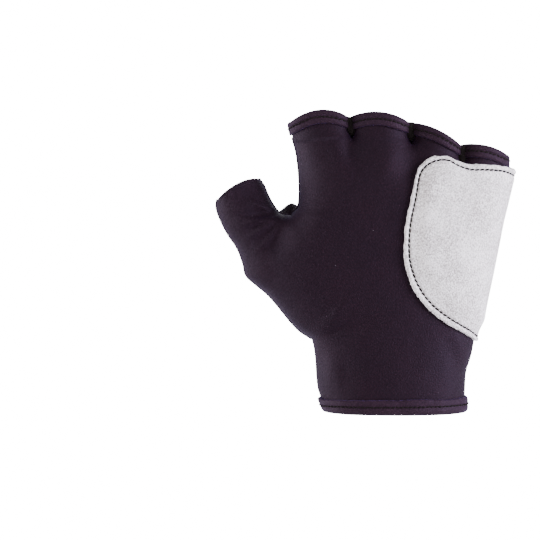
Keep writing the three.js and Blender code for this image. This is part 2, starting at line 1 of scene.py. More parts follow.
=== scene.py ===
# %% [markdown]
# # A fingerless impact glove in stretch fabric and suede
# The real glove is two panels of stretch knit seamed round the outline of the right hand, with
# folded hems at the wrist and the fingers, and a padded suede piece sewn over the palm, round the
# little-finger side and on to the back. It is shown as a hand fills it, held up by its open wrist.
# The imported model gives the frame: every size below is in its millimetres, +Z up the fingers, -Y out
# of the back of the hand and -X to the thumb.

# %% Load the frame
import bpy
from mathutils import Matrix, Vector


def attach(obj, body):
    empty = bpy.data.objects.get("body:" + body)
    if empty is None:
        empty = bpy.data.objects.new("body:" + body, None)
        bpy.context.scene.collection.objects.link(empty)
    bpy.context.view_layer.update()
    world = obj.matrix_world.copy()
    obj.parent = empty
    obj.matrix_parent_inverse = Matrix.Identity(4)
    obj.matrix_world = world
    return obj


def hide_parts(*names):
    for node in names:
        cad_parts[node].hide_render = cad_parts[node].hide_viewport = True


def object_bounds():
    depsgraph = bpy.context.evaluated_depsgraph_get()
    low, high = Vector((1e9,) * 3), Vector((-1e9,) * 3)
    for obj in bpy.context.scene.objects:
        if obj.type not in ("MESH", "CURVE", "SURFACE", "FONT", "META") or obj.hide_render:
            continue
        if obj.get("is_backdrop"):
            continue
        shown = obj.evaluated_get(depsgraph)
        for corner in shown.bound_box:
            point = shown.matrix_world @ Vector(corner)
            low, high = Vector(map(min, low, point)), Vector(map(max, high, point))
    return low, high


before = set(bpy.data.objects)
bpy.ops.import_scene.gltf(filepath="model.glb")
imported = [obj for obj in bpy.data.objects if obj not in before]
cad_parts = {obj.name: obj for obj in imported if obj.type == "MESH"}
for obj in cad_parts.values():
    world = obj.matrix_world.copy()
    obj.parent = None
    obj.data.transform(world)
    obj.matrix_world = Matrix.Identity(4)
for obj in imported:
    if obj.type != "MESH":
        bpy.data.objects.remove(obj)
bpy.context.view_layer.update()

# %% Tools used all through
import math

import bpy
import numpy as np
from mathutils import Vector

MM = 0.001
rng = np.random.default_rng(11)


def linear(code):
    """A hex colour as sRGB, turned to Blender's linear values."""
    parts = [int(code[i : i + 2], 16) / 255 for i in (1, 3, 5)]
    return (*[c / 12.92 if c <= 0.04045 else ((c + 0.055) / 1.055) ** 2.4 for c in parts], 1.0)


def add_node(tree, kind, links=None, **settings):
    """Adds a node, sets its properties, and fills its sockets with values or with other outputs."""
    node = tree.nodes.new(kind)
    for key, value in settings.items():
        setattr(node, key, value)
    for key, value in (links or {}).items():
        socket = node.inputs[key]
        if isinstance(value, bpy.types.NodeSocket):
            tree.links.new(value, socket)
        else:
            socket.default_value = value
    return node


def unit(vectors):
    """Vectors of length one in the same directions."""
    return vectors / np.maximum(np.linalg.norm(vectors, axis=-1, keepdims=True), 1e-12)


def lerp(a, b, t):
    return a + (b - a) * t


def ease(t):
    """A soft step from 0 to 1."""
    t = np.clip(t, 0, 1)
    return t * t * (3 - 2 * t)


def bell(t):
    """A smooth bump of height one."""
    return np.exp(-np.square(t) / 2)


# %% [markdown]
# ## Sizes
# The solid model and this scene share one set of sizes. They came from the photograph with the
# adult hand as the scale cue: 98 mm across the knuckles. Each number is what it would be on a
# pattern maker's sheet, so that one can be changed without touching the code.

# %% Sizes of the glove, in millimetres
glove_length = 140
palm_width, wrist_width = 98, 67
palm_depth, wrist_depth, finger_depth = 34, 47, 22
thumb_root_height, web_height, web_corner = 33.5, 90.6, 3.4
thumb_reach, thumb_rise = 45, 65
thumb_inner_reach, thumb_inner_rise = 14.6, 16.6
thumb_tip_bulge, thumb_lean = 2.3, 7
cloth_wall, gap = 1.2, 0.3
hem_leaf, hem_lip = 1.1, 0.9
wrist_hem_height, finger_hem_height, tack_length = 7, 6.2, 2.4
cup, finger_lean, fold_start, fold_tail = 3.5, 2.5, 5.7, 0.58
suede_wall, core_thickness, pad_flange, core_slope = 1.4, 2.6, 3.2, 8
flange_lift, side_turn = 2.6, 6.4
pad_palm_reach, pad_back_reach, pad_bottom_height, pad_hem_gap, tack_bridge = 94.5, 51, 32.5, 0.7, 3
print("glove", palm_width, "mm across the knuckles and", glove_length, "mm to the longest finger")

# %% [markdown]
# ## Outline
# A glove pattern is drawn flat. Each side of the outline is a short table, read by a smooth curve
# through its rows, in shares of the sizes above. The first column says where, and the second how
# far.


# %% A smooth curve through a table's rows
def follow(rows, at):
    """Reads a two-column table at any place, with a curve that keeps each row's slope."""
    keys, values = np.array(rows, float).T
    at = np.asarray(at, float)
    last = len(keys) - 1
    i = np.searchsorted(keys[1:-1], at, side="left")
    low, high = np.maximum(np.arange(last + 1) - 1, 0), np.minimum(np.arange(last + 1) + 1, last)
    slope = (values[high] - values[low]) / (keys[high] - keys[low])
    span, rise = keys[i + 1] - keys[i], values[i + 1] - values[i]
    t = np.clip((at - keys[i]) / span, 0, 1)
    bend = (slope[i] * span - rise) * (1 - t) - (slope[i + 1] * span - rise) * t
    return values[i] + rise * t + t * (1 - t) * bend


landmarks = [0, thumb_root_height, web_height, glove_length]


def stage(height):
    """0 at the wrist's edge, 1 at the thumb's root, 2 at the web and 3 at the glove's length."""
    height = np.asarray(height, float)
    i = np.where(height < thumb_root_height, 0, np.where(height < web_height, 1, 2))
    low, high = np.array(landmarks[:3])[i], np.array(landmarks[1:])[i]
    return i + (height - low) / (high - low)


# Side seams: stage, and spread from 0 at half the wrist's width to 1 at half the palm's
radial_side = [
    (0.0, -0.16), (0.21, 0.045), (0.33, 0.125), (0.5, 0.165), (0.7, 0.19), (0.88, 0.235), (1.0, 0.3),
    (2.0, 0.91), (2.065, 0.72),
    (2.15, 0.67), (2.26, 0.66), (2.4, 0.68), (2.575, 0.75), (2.72, 0.87), (2.89, 0.96),
]
ulnar_side = [
    (0.0, -0.09), (0.21, -0.065), (0.44, -0.045), (0.57, -0.02), (0.66, 0.05), (0.78, 0.13),
    (0.92, 0.19), (1.1, 0.26), (1.27, 0.36), (1.57, 0.59), (1.86, 0.8), (2.21, 1.04),
    (2.43, 1.18), (2.55, 1.17),
]
# Sides of the thumb: share along, and shares of its reach and of its rise
thumb_outer = [
    (0, 0, 0), (0.1, 0.15, 0.072), (0.35, 0.43, 0.3), (0.46, 0.575, 0.385), (0.555, 0.673, 0.45),
    (0.62, 0.703, 0.535), (0.7, 0.765, 0.645), (0.78, 0.85, 0.73), (0.9, 0.95, 0.865), (0.96, 0.98, 0.94),
    (1, 0.968, 0.985),
]
thumb_inner = [
    (0, 0, 0), (0.22, 0.33, 0.04), (0.41, 0.54, 0.25), (0.63, 0.72, 0.53), (0.83, 0.85, 0.8), (1, 1, 1),
]
# Fingers: share of the top edge, height of the seam at the thumb side, crest, tack
fingers = [
    (0.273, 0.953, 0.032, 1), (0.276, 0.968, 0.026, 1), (0.237, 0.951, 0.017, 1),
    (0.214, 0.876, 0.016, 0.25),
]
little_end_height = 0.846
# Half thickness: stage, and grip (0 wrist, 1 palm, 2 finger openings)
hand_depth = [(0, 0), (0.5, 0.1), (1.0, 0.72), (1.4, 1), (2.26, 1), (2.6, 1.35), (3.0, 2)]


def half_width(side, height):
    """Distance from the middle line to one side seam, in millimetres."""
    return lerp(wrist_width, palm_width, follow(side, stage(height))) / 2


web_widths = [half_width(side, web_height) for side in (radial_side, ulnar_side)]
print("half widths at the web", np.round(web_widths, 1))

# %% [markdown]
# ## A net over the outline
# The panels are made as one net of quads that follows the pattern: rows rise from the wrist to the
# scalloped finger edge, columns spread from seam to seam and crowd together where the cloth turns
# sharply, and the thumb is a patch stretched between its own two sides. Quads that follow the
# pattern give the knit a direction, which a remeshed blob would lose.

# %% Heights of the finger edge
tack_across = np.concatenate([[0], np.cumsum([f[0] for f in fingers])])
tack_height = np.array([f[1] for f in fingers] + [little_end_height])
tack_share = np.array([f[3] for f in fingers] + [fingers[-1][3]])


def scallop(across):
    """Height of the finger edge: a crest over each finger, between its two seams."""
    i = np.clip(np.searchsorted(tack_across[1:], across - 1e-9), 0, len(fingers) - 1)
    t = (across - tack_across[i]) / np.diff(tack_across)[i]
    crest = np.array([f[2] for f in fingers])[i]
    return glove_length * (lerp(tack_height[i], tack_height[i + 1], t) + crest * 4 * t * (1 - t))


def tack_line_height(across):
    """Height of the line through the lower ends of the tacks."""
    knuckle = glove_length * follow(np.stack([tack_across, tack_height], 1), across)
    tack = tack_length * follow(np.stack([tack_across, tack_share], 1), across)
    return knuckle - (finger_hem_height + tack)


# %% Rows and columns of the net
cells_per_finger, margin_cells, thumb_cells = 24, 3, 44
margin = (hem_leaf + 2 * gap) / palm_width


def spaced(count, crowding):
    """Shares from 0 to 1, closer together near both ends."""
    t = np.arange(count) / count
    return lerp(t, (1 - np.cos(math.pi * t)) / 2, crowding)


columns, hem_columns, tack_columns = [], [], []
for i in range(len(fingers)):
    start = tack_across[i] + (margin if i else 0)
    end = tack_across[i + 1] - (margin if i < len(fingers) - 1 else 0)
    if i:
        tack_columns.append(len(columns))
        columns += list(lerp(tack_across[i], start, np.arange(margin_cells) / margin_cells))
    first = len(columns)
    columns += list(lerp(start, end, spaced(cells_per_finger, 0.85)))
    hem_columns.append([first, len(columns)])
    if i < len(fingers) - 1:
        columns += list(lerp(end, tack_across[i + 1], np.arange(margin_cells) / margin_cells))
columns = np.array(columns + [1.0])
last_column = len(columns) - 1

edge_fold = hem_lip + gap
row_tilt = 0.05 * glove_length * columns
level_line = 0 * columns
# Named lines over the hand: rows up to the next line, how far they crowd at its ends, height
lines = {
    "wrist": (2, 0, edge_fold + level_line),
    "wrist_hem": (8, 0, wrist_hem_height + level_line),
    "root": (52, 0.7, thumb_root_height + level_line),
    "web": (5, 0, web_height - row_tilt),
    "corner": (22, 0, web_height + web_corner - row_tilt),
    "tack": (4, 0, tack_line_height(columns)),
    "finger_hem": (7, 0, scallop(columns) - finger_hem_height),
    "top": (1, 0, scallop(columns) - edge_fold),
}
line_heights = [height for _, _, height in lines.values()]
row_heights, row_of = [], {}
for (name, (count, crowding, low)), high in zip(lines.items(), line_heights[1:] + line_heights[-1:]):
    row_of[name] = len(row_heights)
    row_heights += [lerp(low, high, share) for share in spaced(count, crowding)]
heights = np.array(row_heights)
wrist_hem_row, root_row, web_row = (row_of[name] for name in ("wrist_hem", "root", "web"))
tack_row, finger_hem_row, top_row = (row_of[name] for name in ("tack", "finger_hem", "top"))
print(len(heights), "rows and", len(columns), "columns over the hand")

# %% Points of the hand
row_count, column_count = heights.shape
left = -half_width(radial_side, heights[:, :1])
right = half_width(ulnar_side, heights[:, -1:])
hand_x = lerp(left, right, columns[None, :])
grip = follow(hand_depth, stage(heights))
palm_part, finger_part = lerp(wrist_depth, palm_depth, grip), lerp(palm_depth, finger_depth, grip - 1)
full_depth = np.where(grip < 1, palm_part, finger_part) / 2
lean = cup * (2 * columns[None, :] - 1) ** 2 * ease(heights / web_height)
lean = lean + finger_lean * ease((heights - web_height) / (glove_length - web_height))
hand = np.arange(row_count * column_count).reshape(row_count, column_count)
print("hand", hand.shape, "points")

# %% Points of the thumb
across_cells = web_row - root_row
root_point = np.array([hand_x[root_row, 0], heights[root_row, 0]])
web_point = np.array([hand_x[web_row, 0], heights[web_row, 0]])


def thumb_side(start, reach, rise, rows, along):
    """Places along one side of the thumb, from a table of shares of its reach and rise."""
    table = np.array(rows, float)
    x = start[0] - reach * follow(table[:, [0, 1]], along)
    z = start[1] + rise * follow(table[:, [0, 2]], along)
    return np.stack([x, z], -1)


along = np.arange(1, thumb_cells + 1) / thumb_cells
outer_side = thumb_side(root_point, thumb_reach, thumb_rise, thumb_outer, along)
inner_side = thumb_side(web_point, thumb_inner_reach, thumb_inner_rise, thumb_inner, along)
corner_a, corner_b = outer_side[-1], inner_side[-1]
share = (np.arange(across_cells + 1) / across_cells)[:, None]
tip_line = corner_b - corner_a
tip_bulge = thumb_tip_bulge * 4 * share * (1 - share) / np.hypot(*tip_line)
thumb_end = corner_a + tip_line * share + np.array([-tip_line[1], tip_line[0]]) * tip_bulge

# The patch blends its four sides: the two long ones, plus the joint and the end, less the corners
at_joint = slice(root_row, web_row + 1)
joint = np.stack([hand_x[at_joint, 0], heights[at_joint, 0]], -1)
share, run = share[..., None], along[None, :, None]
between = lerp(outer_side[None], inner_side[None], share)
outwards = lerp(joint[:, None], thumb_end[:, None], run)
corners = lerp(lerp(root_point, web_point, share), lerp(corner_a, corner_b, share), run)
thumb_xz = between + outwards - corners
thumb_tip_depth = 0.96 * palm_depth / 2
thumb_depth = lerp(full_depth[at_joint, :1], thumb_tip_depth, along[None, :])
thumb_lean_at = lean[at_joint, :1] + thumb_lean * along[None, :]
thumb_points = hand.size + np.arange(thumb_depth.size).reshape(thumb_depth.shape)
thumb = np.concatenate([hand[at_joint, :1], thumb_points], axis=1)
print("thumb", thumb.shape, "points")

# %% One net of quads, with its seams and tacks
px = np.concatenate([hand_x.ravel(), thumb_xz[..., 0].ravel()])
pz = np.concatenate([heights.ravel(), thumb_xz[..., 1].ravel()])
p_depth = np.concatenate([full_depth.ravel(), thumb_depth.ravel()])
p_lean = np.concatenate([lean.ravel(), thumb_lean_at.ravel()])
on_seam = np.zeros(len(px), bool)
on_seam[hand[:, last_column]] = True
on_seam[hand[: root_row + 1, 0]] = True
on_seam[hand[web_row:, 0]] = True
on_seam[thumb[[0, -1]]] = True
on_tack = np.zeros(len(px), bool)
on_tack[hand[tack_row : top_row + 1][:, tack_columns]] = True


def quads_of(grid):
    """Quads between the neighbouring rows and columns of a grid of point numbers."""
    return np.stack([grid[:-1, :-1], grid[:-1, 1:], grid[1:, 1:], grid[1:, :-1]], -1).reshape(-1, 4)


# The thumb's columns run the other way, so its quads are turned round
cells = np.concatenate([quads_of(hand), quads_of(thumb)[:, [1, 0, 3, 2]]])
print(len(px), "points and", len(cells), "quads in one face of the glove")

# %% [markdown]
# ## Filling the glove
# A hand pushes the cloth out until it pulls back. The soap-film equation gives just that: every
# point's fill balances a steady push against the pull of its neighbours, seams stay closed, and the
# square root of the fill is the height. It is the same rule as in the solid model, solved here on a
# net that is sixteen times finer. Conjugate gradients solve it in a second, where a cloth
# simulation of the whole glove would take minutes and drift from the outline.

# %% Solve for the fill
triangles = np.concatenate([cells[:, [0, 1, 2]], cells[:, [0, 2, 3]]])
flat = np.stack([px, pz], -1)
area = np.zeros(len(px))
pairs, pulls = [], []
for a, b, c in ((0, 1, 2), (1, 2, 0), (2, 0, 1)):
    p, q, r = (triangles[:, k] for k in (a, b, c))
    u, v = flat[p] - flat[r], flat[q] - flat[r]
    cross = np.abs(u[:, 0] * v[:, 1] - u[:, 1] * v[:, 0])
    pulls.append((u * v).sum(1) / cross / 2)
    pairs.append(np.stack([p, q], 1))
    area += np.bincount(r, cross / 6, len(px))
pairs, pulls = np.concatenate(pairs), np.concatenate(pulls)
free = ~(on_seam | on_tack)
tack_fill = (cloth_wall + gap / 2) ** 2 / 2
diagonal = np.bincount(pairs.ravel(), np.repeat(pulls, 2), len(px)) + 2 * area / p_depth**2


def pull_of(fill):
    """What the neighbours and the hand's grip pull at each free point, for a given fill."""
    spread = np.bincount(pairs[:, 0], pulls * fill[pairs[:, 1]], len(px))
    spread += np.bincount(pairs[:, 1], pulls * fill[pairs[:, 0]], len(px))
    return np.where(free, diagonal * fill - spread, 0)


fill = np.where(on_tack, tack_fill, 0.0)
rest = np.where(free, area, 0) - pull_of(fill)
step = rest / diagonal
heading, energy = step.copy(), (rest * step).sum()
for turn in range(900):
    pulled = pull_of(heading)
    size = energy / (heading * pulled).sum()
    fill += size * heading
    rest -= size * pulled
    step = rest / diagonal
    energy, before = (rest * step).sum(), energy
    if energy < 1e-9:
        break
    heading = step + energy / before * heading
swell = np.sqrt(2 * np.maximum(fill, 0))
print("solved in", turn, "rounds; thickest", round(2 * float(swell.max()), 1), "mm")

# %% [markdown]
# ## Folds
# Stretch fabric lies smooth where the hand fills it and gathers in soft folds where it has nothing
# to cover: below the thumb's web, at the wrist and under the finger seams. Each fold is one row:
# where it starts and ends, its width and its height. The first rows are the solid model's own, and
# the rest are too fine for it.

# %% Soft folds on both faces
# face, x and z of the start as shares of palm width and glove length, the end, width and height
folds = [
    ("palm", 0.28, 0.11, 0.1, 0.23, 0.055, 0.014),
    ("palm", 0.33, 0.14, 0.2, 0.235, 0.04, -0.012),
    ("palm", -0.1, 0.09, -0.3, 0.22, 0.06, 0.012),
    ("back", -0.5, 0.62, -0.64, 0.52, 0.11, -0.027),
    ("back", -0.6, 0.7, -0.72, 0.66, 0.06, 0.005),
    ("back", -0.3, 0.24, -0.12, 0.32, 0.06, -0.012),
    ("back", -0.3, 0.08, -0.32, 0.2, 0.05, 0.012),
    ("back", -0.56, 0.645, -0.7, 0.61, 0.018, 0.017),
    ("back", -0.56, 0.662, -0.72, 0.64, 0.03, -0.016),
    ("back", -0.57, 0.672, -0.68, 0.69, 0.016, 0.011),
    ("back", -0.37, 0.71, -0.4, 0.58, 0.11, 0.009),
    ("back", -0.54, 0.632, -0.68, 0.578, 0.018, 0.015),
    ("back", -0.525, 0.62, -0.65, 0.536, 0.018, 0.013),
    ("back", -0.55, 0.636, -0.71, 0.59, 0.024, -0.009),
    ("back", -0.33, 0.06, -0.33, 0.26, 0.2, -0.014),
    ("back", 0.088, 0.9, 0.078, 0.74, 0.09, -0.016),
    ("back", -0.055, 0.9, -0.04, 0.76, 0.09, 0.011),
    ("back", -0.21, 0.9, -0.2, 0.8, 0.06, -0.012),
    ("back", -0.27, 0.9, -0.26, 0.8, 0.05, 0.006),
    ("back", -0.34, 0.3, -0.22, 0.37, 0.03, 0.008),
    ("back", -0.34, 0.26, -0.2, 0.3, 0.026, -0.009),
    ("back", 0.33, 0.12, 0.22, 0.24, 0.035, -0.006),
    ("back", 0.34, 0.17, 0.26, 0.27, 0.028, 0.006),
    ("back", -0.25, 0.07, -0.27, 0.17, 0.03, 0.005),
    ("back", -0.18, 0.83, -0.2, 0.73, 0.022, -0.003),
    ("palm", -0.2, 0.83, -0.16, 0.66, 0.022, -0.008),
    ("palm", -0.25, 0.82, -0.22, 0.7, 0.03, 0.005),
    ("palm", 0.34, 0.09, 0.24, 0.2, 0.028, 0.008),
    ("palm", 0.22, 0.08, 0.06, 0.18, 0.032, -0.007),
    ("palm", -0.5, 0.62, -0.44, 0.5, 0.03, -0.008),
    ("palm", -0.26, 0.08, -0.3, 0.2, 0.034, 0.006),
]


def fold_height(face):
    """How far the folds of one face lift each point: a bell along each fold and one across it."""
    height = np.zeros(len(px))
    for name, x0, z0, x1, z1, width, rise in folds:
        if name != face:
            continue
        x0, x1, z0, z1 = x0 * palm_width, x1 * palm_width, z0 * glove_length, z1 * glove_length
        dx, dz = x1 - x0, z1 - z0
        lengthways = ((px - x0) * dx + (pz - z0) * dz) / (dx * dx + dz * dz)
        off = ((px - x0) * dz - (pz - z0) * dx) / math.hypot(dx, dz)
        off = off + 0.8 * np.sin(lengthways * 3.1 + x0)
        ridge = bell((2 * lengthways - 1) / fold_tail) * bell(2 * off / (width * palm_width))
        height += rise * palm_width * ridge
    return height


# %% A faint unevenness, as of cloth that a hand has stretched
waves = [(rng.uniform(0, 2 * math.pi), rng.normal(0, 1, 2) / rng.uniform(9, 24)) for _ in range(24)]
uneven = sum(np.sin(2 * math.pi * (px * k[0] + pz * k[1]) + phase) for phase, k in waves) / len(waves)
sides = {"palm": 1, "back": -1}
unevenness = 0.35
soft = np.where(on_tack, 0, ease(swell / fold_start))
skin = {}
for face, sign in sides.items():
    y = p_lean + sign * (swell + soft * (fold_height(face) + unevenness * uneven))
    skin[face] = np.stack([px, y, pz], -1)
print("folds up to", round(float(max(abs(fold_height(f)).max() for f in sides)), 2), "mm")

# %% [markdown]
# ## The hump behind the thumb's web
# Loose cloth on the palm side stands up in a small hump behind the web, where it shows from the
# back of the hand. Its points are lifted by a bell and then relaxed, each towards its neighbours, so
# that the net keeps its quads even where it turns over.


# %% Lift the hump and relax it
def summed_at(numbers, vectors):
    """Adds up vectors that share a point number."""
    return np.stack([np.bincount(numbers, vectors[:, axis], len(px)) for axis in range(3)], -1)


def relaxed(points, share, rounds):
    """Moves points towards the mean of their neighbours, each by its own share."""
    ends, others = np.concatenate([pairs, pairs[:, ::-1]]).T
    links = np.bincount(ends, minlength=len(points))[:, None]
    for _ in range(rounds):
        points = lerp(points, summed_at(ends, points[others]) / links, 0.6 * share)
    return points


hump_x, hump_z, hump_width, hump_height = -48.0, 88.6, 3.3, 3.0
hump_rise, hump_start, hump_rounds = np.array([0.0, 0.5, 8.4]), 3.5, 14
hump = bell(np.hypot((px - hump_x) / hump_width, (pz - hump_z) / hump_height)) * ease(swell / hump_start)
hump_reach = np.where(on_seam, 0, ease(6 * hump))[:, None]
skin["palm"] = relaxed(skin["palm"] + hump[:, None] * hump_rise, hump_reach, hump_rounds)
print("hump reaches", int((hump_reach > 0).sum()), "points")

# %% Which way each point faces
normal = {}
for face, sign in sides.items():
    corner = skin[face][triangles]
    facing = np.cross(corner[:, 1] - corner[:, 0], corner[:, 2] - corner[:, 0]) * -sign
    normal[face] = sum(summed_at(triangles[:, k], facing) for k in range(3))
both = normal["palm"] + normal["back"]
for face in sides:
    normal[face][on_seam] = both[on_seam] * [1, 0, 1]
    normal[face] = unit(normal[face])
print("seam points that face along the cloth's own plane", int(on_seam.sum()))

# %% [markdown]
# ## From arrays to meshes
# All pieces are built as arrays of corners in millimetres. One function turns them into a Blender
# mesh in metres with its materials, its smooth shading and, where the weave follows the cloth, a UV
# map that holds the cloth's own lengths, in shares of 100 mm.


# %% Make a mesh piece
def link(name, data):
    """Puts a mesh, a lamp or a camera into the scene as an object of its own."""
    thing = bpy.data.objects.new(name, data)
    bpy.context.scene.collection.objects.link(thing)
    return thing


def make_piece(name, points, faces, materials, which=None, uv=None, sharp=50):
    """A smooth mesh from corners in millimetres; which gives each face's material number."""
    mesh = bpy.data.meshes.new(name)
    mesh.from_pydata((np.asarray(points) * MM).tolist(), [], [list(map(int, f)) for f in faces])
    for material in materials:
        mesh.materials.append(material)
    if which is not None:
        mesh.polygons.foreach_set("material_index", np.asarray(which, np.int32))
    if uv is not None:
        layer = mesh.uv_layers.new(name="cloth")
        loops = np.empty(len(mesh.loops), np.int32)
        mesh.loops.foreach_get("vertex_index", loops)
        layer.data.foreach_set("uv", np.asarray(uv, np.float32)[loops].ravel())
    mesh.validate()
    mesh.shade_smooth()
    mesh.set_sharp_from_angle(angle=math.radians(sharp))
    print(name, len(mesh.vertices), "points", len(mesh.polygons), "faces")
    return link(name, mesh)


# %% [markdown]
# ## Finishes
# Three real materials make the glove. Nylon and elastane warp knit has a soft satin light, because
# its smooth filaments lie in one direction, with darker specks between the loops. Split suede is
# matt: its raised nap scatters light, and its fibres stand up in small patches that look lighter or
# darker. Spun polyester thread is a matt brownish black.

# %% What every finish starts from
def finish_material(name, base, roughness, specular, sheen, sheen_tint):
    """A material with the values that are the same all over it."""
    material = bpy.data.materials.new(name)
    material.use_nodes = True
    tree = material.node_tree
    shader = tree.nodes["Principled BSDF"]
    shader.inputs["Base Color"].default_value = linear(base)
    shader.inputs["Roughness"].default_value = roughness
    shader.inputs["Specular IOR Level"].default_value = specular
    shader.inputs["Sheen Weight"].default_value = sheen
    shader.inputs["Sheen Roughness"].default_value = 0.3
    shader.inputs["Sheen Tint"].default_value = linear(sheen_tint)
    return material, tree, shader


def stops(ramp, low, dark, middle, high, light):
    """Sets a colour ramp's three stops, with the middle one at a half."""
    first, last = ramp.color_ramp.elements
    first.position, first.color = low, linear(dark)
    last.position, last.color = high, linear(light)
    ramp.color_ramp.elements.new(0.5).color = linear(middle)


# %% Knit, warp-knitted nylon and elastane
def knit(name, dark, middle, light, roughness, sheen):
    """Loops about 0.3 mm wide are too fine to show, so they are drawn 0.5 mm wide and 0.8 mm high."""
    specular, sheen_tint, specular_tint, lint_colour = 0.145, "#9073c9", "#dec4f2", "#5c5359"
    material, tree, shader = finish_material(name, middle, roughness, specular, sheen, sheen_tint)
    shader.inputs["Specular Tint"].default_value = linear(specular_tint)
    shader.inputs["Sheen Roughness"].default_value = 0.42
    place = add_node(tree, "ShaderNodeUVMap", uv_map="cloth").outputs["UV"]
    wales = add_node(tree, "ShaderNodeMapping", {"Vector": place, "Scale": (210, 120, 1)}).outputs["Vector"]
    grain = 0.0
    # The loops' rows, the specks between them and the broad patches, each with its weight
    for vector, scale, detail, fineness, weight in (
        (wales, 1, 2, 0.6, 0.55), (place, 110, 3, 0.7, 0.3), (place, 6, 3, 0.5, 0.15),
    ):
        pattern = {"Vector": vector, "Scale": scale, "Detail": detail, "Roughness": fineness}
        noise = add_node(tree, "ShaderNodeTexNoise", pattern)
        summed = {0: noise.outputs["Fac"], 1: weight, 2: grain}
        grain = add_node(tree, "ShaderNodeMath", summed, operation="MULTIPLY_ADD").outputs[0]
    ramp = add_node(tree, "ShaderNodeValToRGB", {"Fac": grain})
    stops(ramp, 0.36, dark, middle, 0.66, light)
    # Sparse specks of lint, each about a third of a millimetre across
    lint = add_node(tree, "ShaderNodeTexVoronoi", {"Vector": place, "Scale": 11})
    caught = add_node(tree, "ShaderNodeMath", {0: lint.outputs["Distance"], 1: 0.02}, operation="LESS_THAN")
    colours = {0: caught.outputs[0], 6: ramp.outputs["Color"], 7: linear(lint_colour)}
    dusted = add_node(tree, "ShaderNodeMix", colours, data_type="RGBA")
    tree.links.new(dusted.outputs[2], shader.inputs["Base Color"])
    fuzz = add_node(tree, "ShaderNodeTexNoise", {"Vector": place, "Scale": 135, "Detail": 1})
    heights_of = {0: fuzz.outputs["Fac"], 1: 0.6, 2: grain}
    rough = add_node(tree, "ShaderNodeMath", heights_of, operation="MULTIPLY_ADD")
    relief = {"Height": rough.outputs[0], "Strength": 0.55, "Distance": 0.0006}
    bump = add_node(tree, "ShaderNodeBump", relief)
    tree.links.new(bump.outputs["Normal"], shader.inputs["Normal"])
    return material


knit_face = knit("aubergine warp knit", "#080304", "#0e0506", "#1c0b10", 0.62, 0.125)
knit_inside = knit("knit inside", "#150b0f", "#1f1218", "#2b1b22", 0.7, 0.06)
hem_knit = knit("folded knit hem", "#10070c", "#1a0e13", "#2b1b24", 0.62, 0.165)
seam_knit = knit("seam welt knit", "#12090f", "#1d1119", "#2c1d28", 0.65, 0.15)
print("knits:", knit_face.name, knit_inside.name, hem_knit.name, seam_knit.name)

# %% Suede, split cowhide with a raised nap
def suede(name, dark, middle, light):
    """Nap tufts are about half a millimetre across, and worn patches one or two centimetres."""
    material, tree, shader = finish_material(name, middle, 0.95, 0.2, 0.35, "#f2efec")
    place = add_node(tree, "ShaderNodeTexCoord").outputs["Object"]
    combed = {"Vector": place, "Scale": (1500, 1500, 1150), "Rotation": (0, 0.7, 0)}
    brushed = add_node(tree, "ShaderNodeMapping", combed).outputs["Vector"]
    tone = 0.0
    # Tufts, the nap brushed one way and the worn patches, each with its weight
    for vector, scale, detail, fineness, weight in (
        (place, 1900, 3, 0.7, 0.42), (brushed, 1, 3, 0.6, 0.38), (place, 60, 4, 0.6, 0.2),
    ):
        pattern = {"Vector": vector, "Scale": scale, "Detail": detail, "Roughness": fineness}
        noise = add_node(tree, "ShaderNodeTexNoise", pattern)
        summed = {0: noise.outputs["Fac"], 1: weight, 2: tone}
        tone = add_node(tree, "ShaderNodeMath", summed, operation="MULTIPLY_ADD").outputs[0]
    ramp = add_node(tree, "ShaderNodeValToRGB", {"Fac": tone})
    stops(ramp, 0.43, dark, middle, 0.57, light)
    tree.links.new(ramp.outputs["Color"], shader.inputs["Base Color"])
    bump = add_node(tree, "ShaderNodeBump", {"Height": tone, "Strength": 0.5, "Distance": 0.0008})
    tree.links.new(bump.outputs["Normal"], shader.inputs["Normal"])
    return material


pad_suede = suede("light grey split suede", "#948e8b", "#cac6c5", "#ebe8e7")
print("suede:", pad_suede.name)

# %% Thread, spun polyester
thread_finish = ("#0d0807", 0.85, 0.12, 0.03, "#5a5250")
thread_black, tree, shader = finish_material("spun polyester thread", *thread_finish)
place = add_node(tree, "ShaderNodeTexCoord").outputs["Object"]
twist = add_node(tree, "ShaderNodeTexNoise", {"Vector": place, "Scale": 2500}).outputs["Fac"]
fibres = add_node(tree, "ShaderNodeBump", {"Height": twist, "Strength": 0.4, "Distance": 0.0002})
tree.links.new(fibres.outputs["Normal"], shader.inputs["Normal"])
print("thread:", thread_black.name)

# %% [markdown]
# ## Cloth panels
# Each face is a wall of cloth 1.2 mm thick: the outer net, the same net moved in along its normals,
# and a strip that closes the edge. The inside is a separate, duller finish, which the eye meets in
# the finger and wrist openings.

# %% Cloth coordinates for the weave
def lengths_along(lines):
    """Length from the start of a line of points, or of each row of them, to every point on it."""
    steps = np.linalg.norm(np.diff(lines, axis=-2), axis=-1)
    return np.concatenate([np.zeros_like(steps[..., :1]), np.cumsum(steps, axis=-1)], -1)


def cloth_uv(face):
    """Arc length along the rows from the middle column, and height, in shares of 100 mm."""
    u = lengths_along(skin[face][hand])
    u = u - u[:, column_count // 2, None]
    out = lengths_along(skin[face][thumb])
    thumb_u = u[at_joint, :1] - out
    thumb_v = pz[thumb[:, :1]] + out * 0.35
    uv = np.zeros((len(px), 2))
    uv[thumb] = np.stack([thumb_u, thumb_v], -1)
    uv[hand] = np.stack([u, heights], -1)
    return uv / 100


print("cloth coordinates run up to", np.round(cloth_uv("back").max(0) * 100), "mm")

# %% Panels with a wall
panel_gap = 0.1
edges = np.concatenate([cells[:, [k, (k + 1) % 4]] for k in range(4)])
_, where, uses = np.unique(np.sort(edges, 1), axis=0, return_index=True, return_counts=True)
border = edges[where[uses == 1]]


